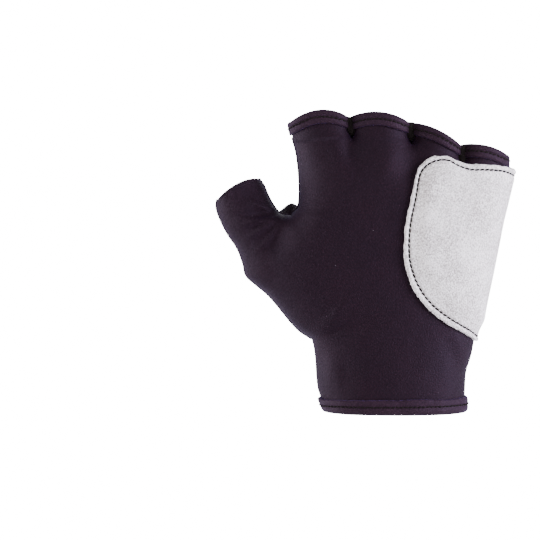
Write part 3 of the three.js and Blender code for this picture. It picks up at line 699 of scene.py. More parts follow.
def raised(face, k, height):
    """Points of one face, moved out along their normals, with half the gap between the faces."""
    placed = skin[face][k] + normal[face][k] * height
    placed[..., 1] += sides[face] * panel_gap / 2
    return placed


def panel(name, face):
    """The net, the same net moved in by the wall, and a strip that closes the edge."""
    count = len(px)
    every = np.arange(count)
    points = np.concatenate([raised(face, every, 0), raised(face, every, -cloth_wall)])
    inner = cells[:, ::-1] + count
    rim = np.stack([border[:, 1], border[:, 0], border[:, 0] + count, border[:, 1] + count], 1)
    faces = np.concatenate([cells, inner, rim])
    if face == "palm":
        faces = faces[:, ::-1]
    which = np.repeat([0, 1, 1], [len(cells), len(inner), len(rim)])
    uv = cloth_uv(face)
    return make_piece(name, points, faces, [knit_face, knit_inside], which, np.concatenate([uv, uv]))


back_cloth = panel("back_cloth", "back")
palm_cloth = panel("palm_cloth", "palm")

# %% [markdown]
# ## Folded hems
# A hem on stretch fabric is a strip folded over the edge and held by one line of stitches, which
# pulls a groove into it. Each hem is one closed section carried along the edge: a leaf outside, a
# round fold at the rim and a shorter leaf inside. A little unevenness keeps it from looking moulded.

# %% The hem's section and its path
def hem_section(height, stitch):
    """Rows of inward distance from the cloth's edge and height off the cloth, round the section."""
    outside = [
        (height + 0.05, 0.1), (height + 0.2, 0.45), (height + 0.12, 0.85), (height - 0.2, 1.12),
        ((height + stitch) / 2 + 0.2, 1.22), (stitch + 0.75, 1.24), (stitch + 0.4, 1.2),
        (stitch + 0.12, 1.13), (stitch - 0.12, 1.13), (stitch - 0.4, 1.2), (stitch - 0.8, 1.28),
        (stitch * 0.6, 1.4), (stitch * 0.35, 1.42), (0.4, 1.36),
    ]
    fold = [
        (-0.25, 1.22), (-0.75, 0.88), (-1.08, 0.4), (-1.2, -0.2), (-1.12, -0.85), (-0.8, -1.45),
        (-0.3, -1.85),
    ]
    inside = [
        (0.4, -2.05), (stitch * 0.5, -2.1), (stitch - 0.6, -1.95), (stitch - 0.1, -1.65),
        (stitch + 0.5, -1.85), (stitch + 0.8, -1.7), (stitch + 0.8, -1.4), (stitch + 0.6, -1.25),
        (-0.15, -1.25), (-0.15, 0.05),
    ]
    return np.array(outside + fold + inside)


# Places in the section: near the rim, the groove's floor outside, and the inner leaf's upper edge
rim_point, groove_point, inner_point = 12, 7, -4
rows_under_hem = 40


def hem_ring(stations, section, from_top, wobble):
    """The section placed at every station, as an array of stations by section points."""
    rings = []
    for (face, column), uneven_by in zip(stations, wobble):
        k = (hand[::-1, column] if from_top else hand[:, column])[:rows_under_hem]
        points, normals = raised(face, k, 0), normal[face][k]
        distance = lengths_along(points)
        out = unit(points[0] - points[1])
        out = unit(out - (out * normals[0]).sum() * normals[0])
        inward, height = section.T
        # The outer leaf swells and shrinks a little, and its upper edge wanders more
        height = np.where((height > 0.3) & (inward > -0.5), height + uneven_by, height)
        inward = np.where(inward > 3, inward + 1.6 * uneven_by, inward)
        ring = np.stack([np.interp(inward, distance, points[:, a]) for a in range(3)], -1)
        facing = unit(np.stack([np.interp(inward, distance, normals[:, a]) for a in range(3)], -1))
        ring = ring + facing * height[:, None] + out * np.maximum(-inward, 0)[:, None]
        rings.append(ring)
    return np.array(rings)


def wobble_of(count, size, closed=False):
    """Smooth seeded noise along a hem, in millimetres."""
    noise = rng.normal(0, 1, count)
    kernel = bell(np.arange(-8, 9) / 2.6)
    wide = np.convolve(np.tile(noise, 3), kernel / kernel.sum(), "same")[count : 2 * count]
    if not closed:
        wide = wide * np.minimum(1, np.minimum(np.arange(count), np.arange(count)[::-1]) / 3)
    return size * wide / max(wide.std(), 1e-6)


def loft(rings, closed):
    """Quads between the stations' sections, and lids at the ends of an open run."""
    stations, around = rings.shape[:2]
    index = np.arange(stations * around).reshape(stations, around)
    there = np.roll(index, -1, 0) if closed else index[1:]
    here = index if closed else index[:-1]
    quads = np.stack([here, there, np.roll(there, -1, 1), np.roll(here, -1, 1)], -1).reshape(-1, 4)
    faces = quads.tolist()
    if not closed:
        faces += [index[0].tolist(), index[-1][::-1].tolist()]
    return faces


def hem_uv(rings):
    """Length along the rim and round the section, in shares of 100 mm."""
    u, v = np.meshgrid(lengths_along(rings[:, rim_point]), lengths_along(rings[0]), indexing="ij")
    return np.stack([u, v], -1).reshape(-1, 2) / 100


def outwards_first(points, faces):
    """Turns a closed mesh's faces round if they point in."""
    volume = 0.0
    for face in faces:
        a = points[face[0]]
        for b, c in zip(face[1:-1], face[2:]):
            volume += float(np.dot(a, np.cross(points[b], points[c])))
    return [list(f)[::-1] for f in faces] if volume < 0 else faces


# %% Wrist hem
wrist_stitch, wrist_flare, flare_top, flare_fade = 3.9, 0.45, 7.3, 2
hem_wobble = 0.07
every_column = range(last_column + 1)
wrist_stations = [("palm", c) for c in every_column] + [("back", c) for c in every_column[::-1]]
wrist_section = hem_section(wrist_hem_height - edge_fold, wrist_stitch - edge_fold)
wrist_wobble = wobble_of(len(wrist_stations), hem_wobble, True)
wrist_rings = hem_ring(wrist_stations, wrist_section, False, wrist_wobble)
# The hem is stiffer than the cloth above it, so it flares a little where the seams meet it
wrist_across = wrist_rings[..., 0] / np.abs(wrist_rings[..., 0]).max()
near_seam = np.sign(wrist_across) * ease((np.abs(wrist_across) - 0.75) / 0.25)
wrist_rings[..., 0] += wrist_flare * near_seam * ease((flare_top - wrist_rings[..., 2]) / flare_fade)
points = wrist_rings.reshape(-1, 3)
faces = outwards_first(points, loft(wrist_rings, True))
wrist_hem = make_piece("wrist_fold", points, faces, [hem_knit], uv=hem_uv(wrist_rings), sharp=60)

# %% Strips of the finger hems
finger_stitch, tack_clearance = 3.3, 0.12
finger_section = hem_section(finger_hem_height - edge_fold, finger_stitch - edge_fold)
tack_line = [(pz[hand[:, c]], px[hand[:, c]]) for c in tack_columns]
finger_names = ["index", "middle", "ring", "little"]
finger_runs = {}
for i, name in enumerate(finger_names):
    first, end = hem_columns[i]
    low = first - (margin_cells - 1 if i else 0)
    high = end + (margin_cells - 1 if i < 3 else 0)
    strip = list(range(low, high + 1))
    if i == 0:
        runs = [[("palm", c) for c in strip[::-1]] + [("back", c) for c in strip]]
    elif i == 3:
        runs = [[("palm", c) for c in strip] + [("back", c) for c in strip[::-1]]]
    else:
        runs = [[("back", c) for c in strip], [("palm", c) for c in strip]]
    finger_runs[name] = []
    for stations in runs:
        rings = hem_ring(stations, finger_section, True, wobble_of(len(stations), hem_wobble))
        if i > 0:
            z, x = tack_line[i - 1]
            rings[..., 0] = np.maximum(rings[..., 0], np.interp(rings[..., 2], z, x) + tack_clearance)
        if i < 3:
            z, x = tack_line[i]
            rings[..., 0] = np.minimum(rings[..., 0], np.interp(rings[..., 2], z, x) - tack_clearance)
        finger_runs[name].append(rings)
print("strips of the finger hems", {name: len(runs) for name, runs in finger_runs.items()})

# %% Finger hems
finger_hems = {}
for name, runs in finger_runs.items():
    all_points, all_faces, all_uv = [], [], []
    for rings in runs:
        points = rings.reshape(-1, 3)
        offset = sum(len(p) for p in all_points)
        faces = outwards_first(points, loft(rings, False))
        all_faces += [[v + offset for v in f] for f in faces]
        all_points.append(points)
        all_uv.append(hem_uv(rings))
    points, uv = np.concatenate(all_points), np.concatenate(all_uv)
    finger_hems[name] = make_piece(name + "_fold", points, all_faces, [hem_knit], uv=uv, sharp=60)

# %% [markdown]
# ## Suede pad
# The pad is cut flat, so it is drawn flat: one coordinate runs round the hand from the
# little-finger seam, the other up. Rings from its cut edge to its middle line carry the section: a
# sewn flange, the groove that the stitches pull in, and the rounded edge of the impact core. The
# flat pattern is then wrapped over the filled glove.

# %% Flat pattern of the pad
# around as a share of the reach over the palm (+) or the back (-), and up from 0 to 1
pad_outline = [
    (0.997, 0.61), (0.99, 0.78), (0.972, 0.945), (0.935, 1.035), (0.885, 1.11), (0.81, 1.17),
    (0.7, 1.195), (0.545, 1.165), (0.418, 1.13), (0.33, 1.08), (0.24, 1.055), (0.13, 1.045),
    (0.0, 1.0), (-0.2, 1.022), (-0.36, 1.027), (-0.5, 1.024), (-0.62, 1.045), (-0.74, 1.078),
    (-0.865, 1.066), (-0.966, 1.0), (-0.992, 0.88), (-1.007, 0.68), (-0.98, 0.54), (-0.93, 0.44),
    (-0.823, 0.32), (-0.65, 0.2), (-0.45, 0.114), (-0.2, 0.037), (-0.07, 0.004), (0.05, 0.01),
    (0.22, 0.045), (0.52, 0.057), (0.71, 0.1), (0.84, 0.22), (0.94, 0.37),
]
pad_height = little_end_height * glove_length - finger_hem_height - pad_hem_gap - pad_bottom_height
around_share, up_share = np.array(pad_outline).T
around = around_share * np.where(around_share < 0, pad_back_reach, pad_palm_reach)
knots = np.stack([around, pad_bottom_height + up_share * pad_height], 1)


def closed_curve(knots, per_span):
    """A smooth closed curve through points that are unevenly spaced."""
    p0, p1, p2, p3 = (np.roll(knots, k, 0) for k in (1, 0, -1, -2))
    d0, d1, d2 = (np.sqrt(np.linalg.norm(step, axis=1))[:, None] for step in (p1 - p0, p2 - p1, p3 - p2))
    t1 = ((p1 - p0) / d0 - (p2 - p0) / (d0 + d1) + (p2 - p1) / d1) * d1
    t2 = ((p2 - p1) / d1 - (p3 - p1) / (d1 + d2) + (p3 - p2) / d2) * d1
    t = (np.arange(per_span) / per_span)[None, :, None]
    p1, p2, t1, t2 = (v[:, None] for v in (p1, p2, t1, t2))
    curve = p1 + t1 * t + (-3 * p1 + 3 * p2 - 2 * t1 - t2) * t**2 + (2 * p1 - 2 * p2 + t1 + t2) * t**3
    return curve.reshape(-1, 2)


outline = closed_curve(knots, 18)
edge_length = lengths_along(np.vstack([outline, outline[:1]]))[-1]
print("pad edge", round(float(edge_length)), "mm round")

# %% Rays from the pad's middle line to its edge
spine_height = pad_bottom_height + pad_height * 0.52
spine_ends = [-pad_back_reach + pad_height * 0.45, pad_palm_reach - pad_height * 0.5]
spine_cells, end_cells = 84, 96
starts, angles = [], []
for a, b, turn in ((1, 0, 1), (0, 1, -1)):
    for k in range(spine_cells):
        starts.append((lerp(spine_ends[a], spine_ends[b], k / spine_cells), spine_height))
    angles += [turn * math.pi / 2] * spine_cells
    starts += [(spine_ends[b], spine_height)] * end_cells
    angles += [turn * math.pi / 2 + math.pi * k / end_cells for k in range(end_cells)]
starts, angles = np.array(starts), np.array(angles)
rays = np.stack([np.cos(angles), np.sin(angles)], 1)
ends = np.empty_like(starts)
following = np.roll(outline, -1, 0)
for k, (start, ray) in enumerate(zip(starts, rays)):
    a, b = outline - start, following - start
    side_a, side_b = a[:, 0] * ray[1] - a[:, 1] * ray[0], b[:, 0] * ray[1] - b[:, 1] * ray[0]
    hits = np.flatnonzero((a @ ray > 0) & (side_a * side_b <= 0))
    hit = hits[0]
    ends[k] = lerp(outline[hit], following[hit], side_a[hit] / (side_a[hit] - side_b[hit]))
print(len(rays), "rays")

# %% [markdown]
# ## Where the flat pattern lies on the hand
# A flat pattern is wrapped by looking up its places. The table holds, for each half millimetre
# round the hand and up it, the point and the normal of the filled glove. The columns in the valleys
# between the fingers are left out, because the stiff pad bridges them.

# %% Wrap table
pad_columns = [
    c for c in every_column[::-1]
    if all(abs(tack_across[t] - columns[c]) * palm_width > tack_bridge for t in (1, 2, 3))
]
wrap_step = 0.5
wrap_up = np.arange(28, 132, wrap_step)
wrap_around = np.arange(-56, 100, wrap_step)
wrap = np.zeros((len(wrap_up), len(wrap_around), 6))
for face, sign in sides.items():
    lines_of = []
    for c in pad_columns:
        k = hand[:, c]
        data = np.concatenate([skin[face][k], normal[face][k]], 1)
        lines_of.append(np.stack([np.interp(wrap_up, pz[k], data[:, a]) for a in range(6)], -1))
    level = np.stack(lines_of, 1)
    mask = wrap_around >= 0 if face == "palm" else wrap_around < 0
    for row in range(len(wrap_up)):
        run = lengths_along(level[row, :, :3])
        for a in range(6):
            wrap[row, mask, a] = np.interp(np.abs(wrap_around[mask]), run, level[row, :, a])


def evened(table):
    """One round of averaging down the rows of a table, with its ends kept."""
    return np.concatenate([table[:1], (table[:-2] + 2 * table[1:-1] + table[2:]) / 4, table[-1:]])


# The stiff pad bridges small dips, so the normals under it are evened out both ways
for _ in range(24):
    evened_around = evened(wrap[..., 3:].swapaxes(0, 1)).swapaxes(0, 1)
    wrap[..., 3:] = evened(evened_around)
print("wrap table", wrap.shape)


# %% Read the wrap table
def read_table(table, places):
    """Values between the four entries of a table round each place, in steps of the table."""
    i = np.clip(places.astype(int), 0, np.array(table.shape[1::-1]) - 2)
    (x, y), t = i.T, places - i
    tx, ty = (t[:, axis].reshape(-1, *[1] * (table.ndim - 2)) for axis in range(2))
    return lerp(lerp(table[y, x], table[y, x + 1], tx), lerp(table[y + 1, x], table[y + 1, x + 1], tx), ty)


def on_hand(places):
    """Points and normals on the filled glove for places of the flat pattern."""
    found = read_table(wrap, (places - [wrap_around[0], wrap_up[0]]) / wrap_step)
    return found[:, :3], unit(found[:, 3:])


# %% [markdown]
# ## The pad's section
# The pattern is drawn as rings, from the cut edge to the middle line. How far a ring lies inside the
# edge says what it belongs to: the sewn flange, the groove that the stitches pull in, or the core.
# The suede is cut with shears, so its edge wanders by a tenth of a millimetre.

# %% Rings of the flat pattern
stitch_inset, groove_width, groove_depth = 2.35, 0.5, 0.62
insets = np.array([
    0, 0.2, 0.55, 1.0, 1.45, 1.75, 2.1, 2.35, 2.6, 2.85, 3.15, 3.5, 4.1, 4.8, 5.6, 6.5, 7.5, 8.7,
    10, 11.2,
])
core_shares = np.array([0.07, 0.14, 0.22, 0.3, 0.38, 0.46, 0.54, 0.62, 0.7, 0.78, 0.86, 0.93, 0.97, 1.0])
reach = np.linalg.norm(ends - starts, axis=1)
ray_count = len(starts)
ragged = wobble_of(ray_count, 0.12, True) + rng.normal(0, 0.13, ray_count)
ragged_reach, core_sink, bead, bead_inset = 1.2, 0.6, 0.25, 0.9
edge_drop, edge_round = 0.35, 0.28


def pad_ring(inset, share=0):
    """A ring at an inset from the edge or, past the last inset, at a share of the way to the middle."""
    edge = ends + rays * (ragged * np.clip(1 - inset / ragged_reach, 0, 1))[:, None]
    return lerp(edge, starts, lerp(inset / reach, 1, share)[:, None])


def pad_thickness(inset, place):
    """The edge stands off the side of the hand where it turns, and more so towards the fingers."""
    up_share = ease((place[:, 1] - pad_bottom_height) / pad_height)
    lift = flange_lift * bell(place[:, 0] / side_turn) * up_share
    core = (core_thickness - core_sink) * ease((inset - pad_flange) / core_slope)
    thick = suede_wall + np.maximum(lift, core)
    thick = thick + bead * bell((inset - bead_inset) / 0.6)
    thick = thick - groove_depth * bell((inset - stitch_inset) / groove_width)
    return thick - edge_drop * bell(inset / edge_round)


print("pad", round(suede_wall + core_thickness - core_sink, 1), "mm thick over its core")

# %% [markdown]
# ## The foam under the suede
# The skin inside the stitches is suede held all round at the seam, with the foam's pressure under
# it, so a cloth simulation gives its swell. It runs on a grid of the flat pattern laid over the
# hand, ten times as large as the glove, where the solver is steadier. Its pins are the points
# outside the seam. Only the swell is kept, and it is capped, because the real core is a flat slab.

# %% Grid of the pad's skin
grid_step, sim_scale, foam_swell, foam_reach, pin_inset = 2.5, 0.01, 1.2, 3.2, 1.2


def within(places, ring):
    """Whether each place of the pattern lies inside a ring, by counting the edges above it."""
    after = np.roll(ring, -1, 0)
    crossed = np.zeros(len(places), dtype=int)
    for (ax, ay), (bx, by) in zip(ring, after):
        spans = (places[:, 0] < ax) != (places[:, 0] < bx)
        if spans.any():
            height = ay + (by - ay) * (places[:, 0] - ax) / (bx - ax + 1e-12)
            crossed += spans & (height > places[:, 1])
    return crossed % 2 == 1


# %% Let the foam push the suede out
def simulated(start, quads, pinned):
    """Where points of a cloth lie after twenty frames of the foam's pressure."""
    mesh = bpy.data.meshes.new("pad skin")
    mesh.from_pydata(start.tolist(), [], quads.tolist())
    skin_body = link("pad skin", mesh)
    held = skin_body.vertex_groups.new(name="held at the seam")
    held.add(np.flatnonzero(pinned).tolist(), 1.0, "REPLACE")
    cloth = skin_body.modifiers.new("foam pressure", "CLOTH").settings
    cloth.vertex_group_mass = held.name
    cloth.mass, cloth.air_damping, cloth.bending_stiffness = 0.3, 5, 10
    cloth.tension_stiffness = cloth.compression_stiffness = 60
    cloth.use_pressure, cloth.uniform_pressure_force = True, 4
    cloth.effector_weights.gravity = 0
    for frame_number in range(1, 21):
        bpy.context.scene.frame_set(frame_number)
    shaped = skin_body.evaluated_get(bpy.context.evaluated_depsgraph_get()).to_mesh()
    moved = np.array([v.co for v in shaped.vertices])
    bpy.data.objects.remove(skin_body)
    bpy.context.scene.frame_set(1)
    return moved


def foam_push():
    """A table over the flat pattern of how far the foam pushes the skin out, and its corner."""
    low_corner, high_corner = outline.min(0) - grid_step, outline.max(0) + grid_step
    across, upwards = (np.arange(low_corner[a], high_corner[a], grid_step) for a in range(2))
    places = np.stack(np.meshgrid(across, upwards), -1).reshape(-1, 2)
    loose = within(places, pad_ring(stitch_inset + pin_inset))
    at, facing = on_hand(places)
    start = (at + facing * (gap + suede_wall + core_thickness * loose[:, None])) * sim_scale
    quads = quads_of(np.arange(len(places)).reshape(len(upwards), len(across)))
    moved = simulated(start, quads[loose[quads].any(1)], ~loose)
    out = np.where(loose, ((moved - start) * facing).sum(1) / sim_scale, 0)
    print("foam pushes the skin out by", np.round(np.percentile(out[loose], [1, 50, 99]), 2), "mm")
    return low_corner, out.reshape(len(upwards), len(across))


def swell_at(places):
    """How far the skin stands out at places of the pattern, capped as the core's flat slab would."""
    out = read_table(swell_table, (places - swell_corner) / grid_step)
    return foam_swell * np.tanh(np.maximum(out, 0) / foam_reach)


swell_corner, swell_table = foam_push()
print("foam table", swell_table.shape)

# %% Top and underside of the pad
underside_lift = 0.12
pattern = [pad_ring(inset) for inset in insets]
pattern += [pad_ring(insets[-1], share) for share in core_shares]
# Past the last inset the core has its full height
ring_inset = list(insets) + [insets[-1]] * len(core_shares)
top = []
for place, inset in zip(pattern, ring_inset):
    at, facing = on_hand(place)
    top.append(at + facing * (gap + pad_thickness(inset, place) + swell_at(place))[:, None])
top = np.array(top)
bottom = []
for place in pattern[::3][:7] + [pattern[-1]]:
    at, facing = on_hand(place)
    bottom.append(at + facing * underside_lift)
bottom = np.array(bottom)
print("pad rings", top.shape, bottom.shape)


# %% Close the pad
def pad_faces(rings, offset):
    """Point numbers of the rings, and the quads between them."""
    index = np.arange(rings.shape[0] * rings.shape[1]).reshape(rings.shape[:2]) + offset
    quads = np.stack([index[:-1], np.roll(index[:-1], -1, 1), np.roll(index[1:], -1, 1), index[1:]], -1)
    return index, quads.reshape(-1, 4)


top_index, top_quads = pad_faces(top, 0)
bottom_index, bottom_quads = pad_faces(bottom, top.shape[0] * top.shape[1])
top_edge, bottom_edge = top_index[0], bottom_index[0]
wall = np.stack([np.roll(top_edge, -1), top_edge, bottom_edge, np.roll(bottom_edge, -1)], -1)
points = np.concatenate([top.reshape(-1, 3), bottom.reshape(-1, 3)])
faces = np.concatenate([top_quads, bottom_quads[:, ::-1], wall])


def welded(points, faces):
    """Merges corners that share a place and drops what that leaves without area."""
    _, first, same = np.unique(np.round(points, 4), axis=0, return_index=True, return_inverse=True)
    same = same.ravel()
    kept = []
    for face in same[faces]:
        ring = [v for k, v in enumerate(face) if v != face[k - 1]]
        if len(set(ring)) > 2:
            kept.append(ring)
    return points[first], kept


points, faces = welded(points, faces)
pad = make_piece("palm_and_side_pad", points, outwards_first(points, faces), [pad_suede], sharp=60)

# %% [markdown]
# ## Stitches
# A row of stitches is one thing repeated along a path, so Geometry Nodes make it. The path carries
# the cloth's normal at each point; the tree turns it into a curve, spaces points along it at the
# stitch pitch, and sets a short bowed thread on each, turned to the path and to the cloth.

# %% Sockets of the stitch tree
stitches = bpy.data.node_groups.new("Row of stitches", "GeometryNodeTree")
stitch_inputs = {
    "Pitch": ("Float", 2.0), "Length": ("Float", 1.5), "Thickness": ("Float", 0.25), "Bow": ("Float", 0.3),
    "Slant": ("Float", 0.1), "Zigzag": ("Float", 0.0), "Seed": ("Int", 0), "Thread": ("Material", None),
}
for in_out in ("INPUT", "OUTPUT"):
    stitches.interface.new_socket("Geometry", in_out=in_out, socket_type="NodeSocketGeometry")
for name, (kind, value) in stitch_inputs.items():
    socket = stitches.interface.new_socket(name, in_out="INPUT", socket_type="NodeSocket" + kind)
    if value is not None:
        socket.default_value = value
given = add_node(stitches, "NodeGroupInput").outputs
print("inputs of the stitch tree:", [socket.name for socket in given if socket.name])

# %% One stitch: a short bowed thread
bow_of = {"Resolution": 6}
for end, length_share, bow_share in (("Start", -0.5, -1.0), ("Middle", 0.0, 1.2), ("End", 0.5, -1.0)):
    x = add_node(stitches, "ShaderNodeMath", {0: given["Length"], 1: length_share}, operation="MULTIPLY")
    z = add_node(stitches, "ShaderNodeMath", {0: given["Bow"], 1: bow_share}, operation="MULTIPLY")
    place = {"X": x.outputs[0], "Z": z.outputs[0]}
    bow_of[end] = add_node(stitches, "ShaderNodeCombineXYZ", place).outputs[0]
arc = add_node(stitches, "GeometryNodeCurveQuadraticBezier", bow_of).outputs[0]
round_of = {"Resolution": 6, "Radius": given["Thickness"]}
section = add_node(stitches, "GeometryNodeCurvePrimitiveCircle", round_of).outputs["Curve"]
swept = {"Curve": arc, "Profile Curve": section, "Fill Caps": True}
strand = add_node(stitches, "GeometryNodeCurveToMesh", swept).outputs["Mesh"]
print("one stitch takes", len(stitches.nodes), "nodes")

# %% How each stitch is turned
name_of = {"Name": "cloth_normal"}
facing = add_node(stitches, "GeometryNodeInputNamedAttribute", name_of, data_type="FLOAT_VECTOR")
tangent = add_node(stitches, "GeometryNodeInputTangent").outputs[0]
axes = {"Primary Axis": facing.outputs["Attribute"], "Secondary Axis": tangent}
aligned = add_node(stitches, "FunctionNodeAxesToRotation", axes, primary_axis="Z", secondary_axis="X")
number = add_node(stitches, "GeometryNodeInputIndex").outputs[0]
odd = add_node(stitches, "ShaderNodeMath", {0: number, 1: 2.0}, operation="MODULO").outputs[0]
flip = add_node(stitches, "ShaderNodeMath", {0: odd, 1: given["Zigzag"]}, operation="MULTIPLY").outputs[0]
slanted = {0: given["Slant"], 1: flip}
turn_by = add_node(stitches, "ShaderNodeMath", slanted, operation="SUBTRACT").outputs[0]
# No hand or machine lays two stitches quite alike, so each is turned by up to 7 degrees more
stitch_shake = 0.12
shake = add_node(stitches, "FunctionNodeRandomValue", {"Seed": given["Seed"]}, data_type="FLOAT")
for socket in shake.inputs:
    if socket.enabled and socket.name in ("Min", "Max"):
        socket.default_value = stitch_shake if socket.name == "Max" else -stitch_shake
shaken = next(socket for socket in shake.outputs if socket.enabled)
angle = add_node(stitches, "ShaderNodeMath", {0: turn_by, 1: shaken}, operation="ADD").outputs[0]
spin = add_node(stitches, "ShaderNodeCombineXYZ", {"Z": angle}).outputs[0]
local = add_node(stitches, "FunctionNodeEulerToRotation", {0: spin}).outputs[0]
turns = {0: aligned.outputs[0], 1: local}
turned = add_node(stitches, "FunctionNodeRotateRotation", turns, rotation_space="LOCAL").outputs[0]
print("stitch and turn take", len(stitches.nodes), "nodes")

# %% Stitches laid along the path
curve = add_node(stitches, "GeometryNodeMeshToCurve", {"Mesh": given["Geometry"]}).outputs["Curve"]
even = {"Curve": curve, "Length": given["Pitch"]}
spaced_out = add_node(stitches, "GeometryNodeResampleCurve", even, mode="LENGTH").outputs["Curve"]
placed = {"Points": spaced_out, "Instance": strand, "Rotation": turned}
laid = add_node(stitches, "GeometryNodeInstanceOnPoints", placed).outputs[0]
real = add_node(stitches, "GeometryNodeRealizeInstances", {0: laid}).outputs[0]
finish = {"Geometry": real, "Material": given["Thread"]}
coloured = add_node(stitches, "GeometryNodeSetMaterial", finish).outputs[0]
add_node(stitches, "NodeGroupOutput", {"Geometry": coloured})
print("stitch tree", len(stitches.nodes), "nodes")


# %% Run a tree over a path
def run_tree(name, tree, paths, sizes):
    """Runs a tree over paths of (points, normals, closed) and keeps the result as a plain mesh."""
    mesh = bpy.data.meshes.new(name + "_path")
    points, edges, facings = [], [], []
    for at, facing, closed in paths:
        offset = len(points)
        points += (np.asarray(at) * MM).tolist()
        facings += np.asarray(facing).tolist()
        edges += [(offset + k, offset + k + 1) for k in range(len(at) - 1)]
        if closed:
            edges.append((offset + len(at) - 1, offset))
    mesh.from_pydata(points, edges, [])
    stored = mesh.attributes.new("cloth_normal", "FLOAT_VECTOR", "POINT")
    stored.data.foreach_set("vector", np.asarray(facings, np.float32).ravel())
    path = link(name + "_path", mesh)
    modifier = path.modifiers.new("stitches", "NODES")
    modifier.node_group = tree
    socket_id = {s.name: s.identifier for s in tree.interface.items_tree if s.in_out == "INPUT"}
    for key, value in sizes.items():
        modifier[socket_id[key]] = value
    bpy.context.view_layer.update()
    ready = path.evaluated_get(bpy.context.evaluated_depsgraph_get())
    plain = bpy.data.meshes.new_from_object(ready)
    bpy.data.objects.remove(path)
    plain.shade_smooth()
    print(name, len(plain.polygons), "faces")
    return link(name, plain)


# %% Sew a row
# Pitch, length, thickness and bow in millimetres, slant and zigzag in radians, and the seed
rows_of_stitches = {
    "pad_stitches": (2.35, 1.8, 0.41, 0.32, 0.16, 0.0, 3),
    "hem_stitches": (2.0, 1.3, 0.36, 0.22, 0.25, 0.35, 5),
    "seam_loops": (0.8, 1.7, 0.22, 0.45, 1.57, 0.7, 4),
    # The two tack rows are real bar tacks and also painted shade of the valley between the fingers
    "tack_stitches_and_valley_shade": (0.38, 3.1, 0.26, 0.3, 1.57, 0.12, 8),
    "tack_ends_and_valley_shade": (0.38, 1.9, 0.26, 0.3, 1.57, 0.12, 8),
}


def sew(name, paths):
    """Lays one of these rows along its paths."""
    *lengths, slant, zigzag, seed = rows_of_stitches[name]
    sizes = dict(zip(("Pitch", "Length", "Thickness", "Bow"), (length * MM for length in lengths)))
    sizes |= {"Slant": slant, "Zigzag": zigzag, "Seed": seed, "Thread": thread_black}
    return run_tree(name, stitches, paths, sizes)


# %% Row on the pad
thread_lift = 0.2
seam_place = pad_ring(stitch_inset)
at, facing = on_hand(seam_place)
seam_at = at + facing * (gap + pad_thickness(stitch_inset, seam_place) + thread_lift)[:, None]
pad_stitches = sew("pad_stitches", [(seam_at, facing, True)])


# %% Rows on the hems
def hem_path(rings, closed, thread_lift=0.17):
    """The groove's floor outside, lifted by half a thread away from the inner leaf."""
    facing = unit(rings[:, groove_point] - rings[:, inner_point])
    return rings[:, groove_point] + thread_lift * facing, facing, closed


finger_rows = [hem_path(rings, False) for runs in finger_runs.values() for rings in runs]
hem_stitches = sew("hem_stitches", [hem_path(wrist_rings, True)] + finger_rows)

# %% [markdown]
# ## Side seams
# The two faces are overlocked together and turned, which leaves a fine welt round the outline and,
# where the seam turns out at the index finger, a dark fringe of overlock loops. The welt is a tube
# run along the seam by Geometry Nodes, and the loops are the same stitch laid across it.

# %% The welt tree
welt_tree = bpy.data.node_groups.new("Seam welt", "GeometryNodeTree")
for name, kind in {"Geometry": "Geometry", "Radius": "Float", "Cloth": "Material"}.items():
    welt_tree.interface.new_socket(name, in_out="INPUT", socket_type="NodeSocket" + kind)
welt_tree.interface.new_socket("Geometry", in_out="OUTPUT", socket_type="NodeSocketGeometry")
welt_step = 0.8
given = add_node(welt_tree, "NodeGroupInput").outputs
curve = add_node(welt_tree, "GeometryNodeMeshToCurve", {"Mesh": given["Geometry"]}).outputs["Curve"]
even = {"Curve": curve, "Length": welt_step * MM}
spaced_out = add_node(welt_tree, "GeometryNodeResampleCurve", even, mode="LENGTH").outputs["Curve"]
# The welt swells and narrows by a quarter along its length
lumps = add_node(welt_tree, "ShaderNodeTexNoise", {"Scale": 350.0, "Detail": 1.0}).outputs["Fac"]
swollen = add_node(welt_tree, "ShaderNodeMath", {0: lumps, 1: 0.5, 2: 0.75}, operation="MULTIPLY_ADD")
round_of = {"Resolution": 8, "Radius": given["Radius"]}
section = add_node(welt_tree, "GeometryNodeCurvePrimitiveCircle", round_of).outputs["Curve"]
swept = {"Curve": spaced_out, "Profile Curve": section, "Scale": swollen.outputs[0], "Fill Caps": True}
tube = add_node(welt_tree, "GeometryNodeCurveToMesh", swept).outputs["Mesh"]
real = add_node(welt_tree, "GeometryNodeRealizeInstances", {0: tube}).outputs[0]
finish = {"Geometry": real, "Material": given["Cloth"]}
coloured = add_node(welt_tree, "GeometryNodeSetMaterial", finish).outputs[0]
add_node(welt_tree, "NodeGroupOutput", {"Geometry": coloured})
print("welt tree", len(welt_tree.nodes), "nodes")

# %% Welt along the seams
welt_start, welt_end = wrist_hem_row - 4, finger_hem_row - 1
seam_runs = {
    "thumb side": np.concatenate([hand[welt_start:root_row, 0], thumb[0]]),
    "web": np.concatenate([thumb[-1, ::-1], hand[web_row + 1 : welt_end, 0]]),
    "little side": hand[welt_start:welt_end, last_column],
}


def seam_path(k, lift):
    """A path through seam points, moved out of the seam by a lift in millimetres."""
    facing = unit(both[k] * [1, 0, 1])
    at = np.stack([px[k], p_lean[k], pz[k]], -1) + lift * facing
    return at, facing, False


welt_sizes = {"Radius": 0.42 * MM, "Cloth": seam_knit}
welt_paths = [seam_path(k, 0.05) for k in seam_runs.values()]
seam_welts = run_tree("seam_welts", welt_tree, welt_paths, welt_sizes)
loop_lift, rows_past_web = 0.35, 12
fringe = hand[web_row + rows_past_web : welt_end, 0]
seam_loops = sew("seam_loops", [seam_path(fringe, loop_lift)])
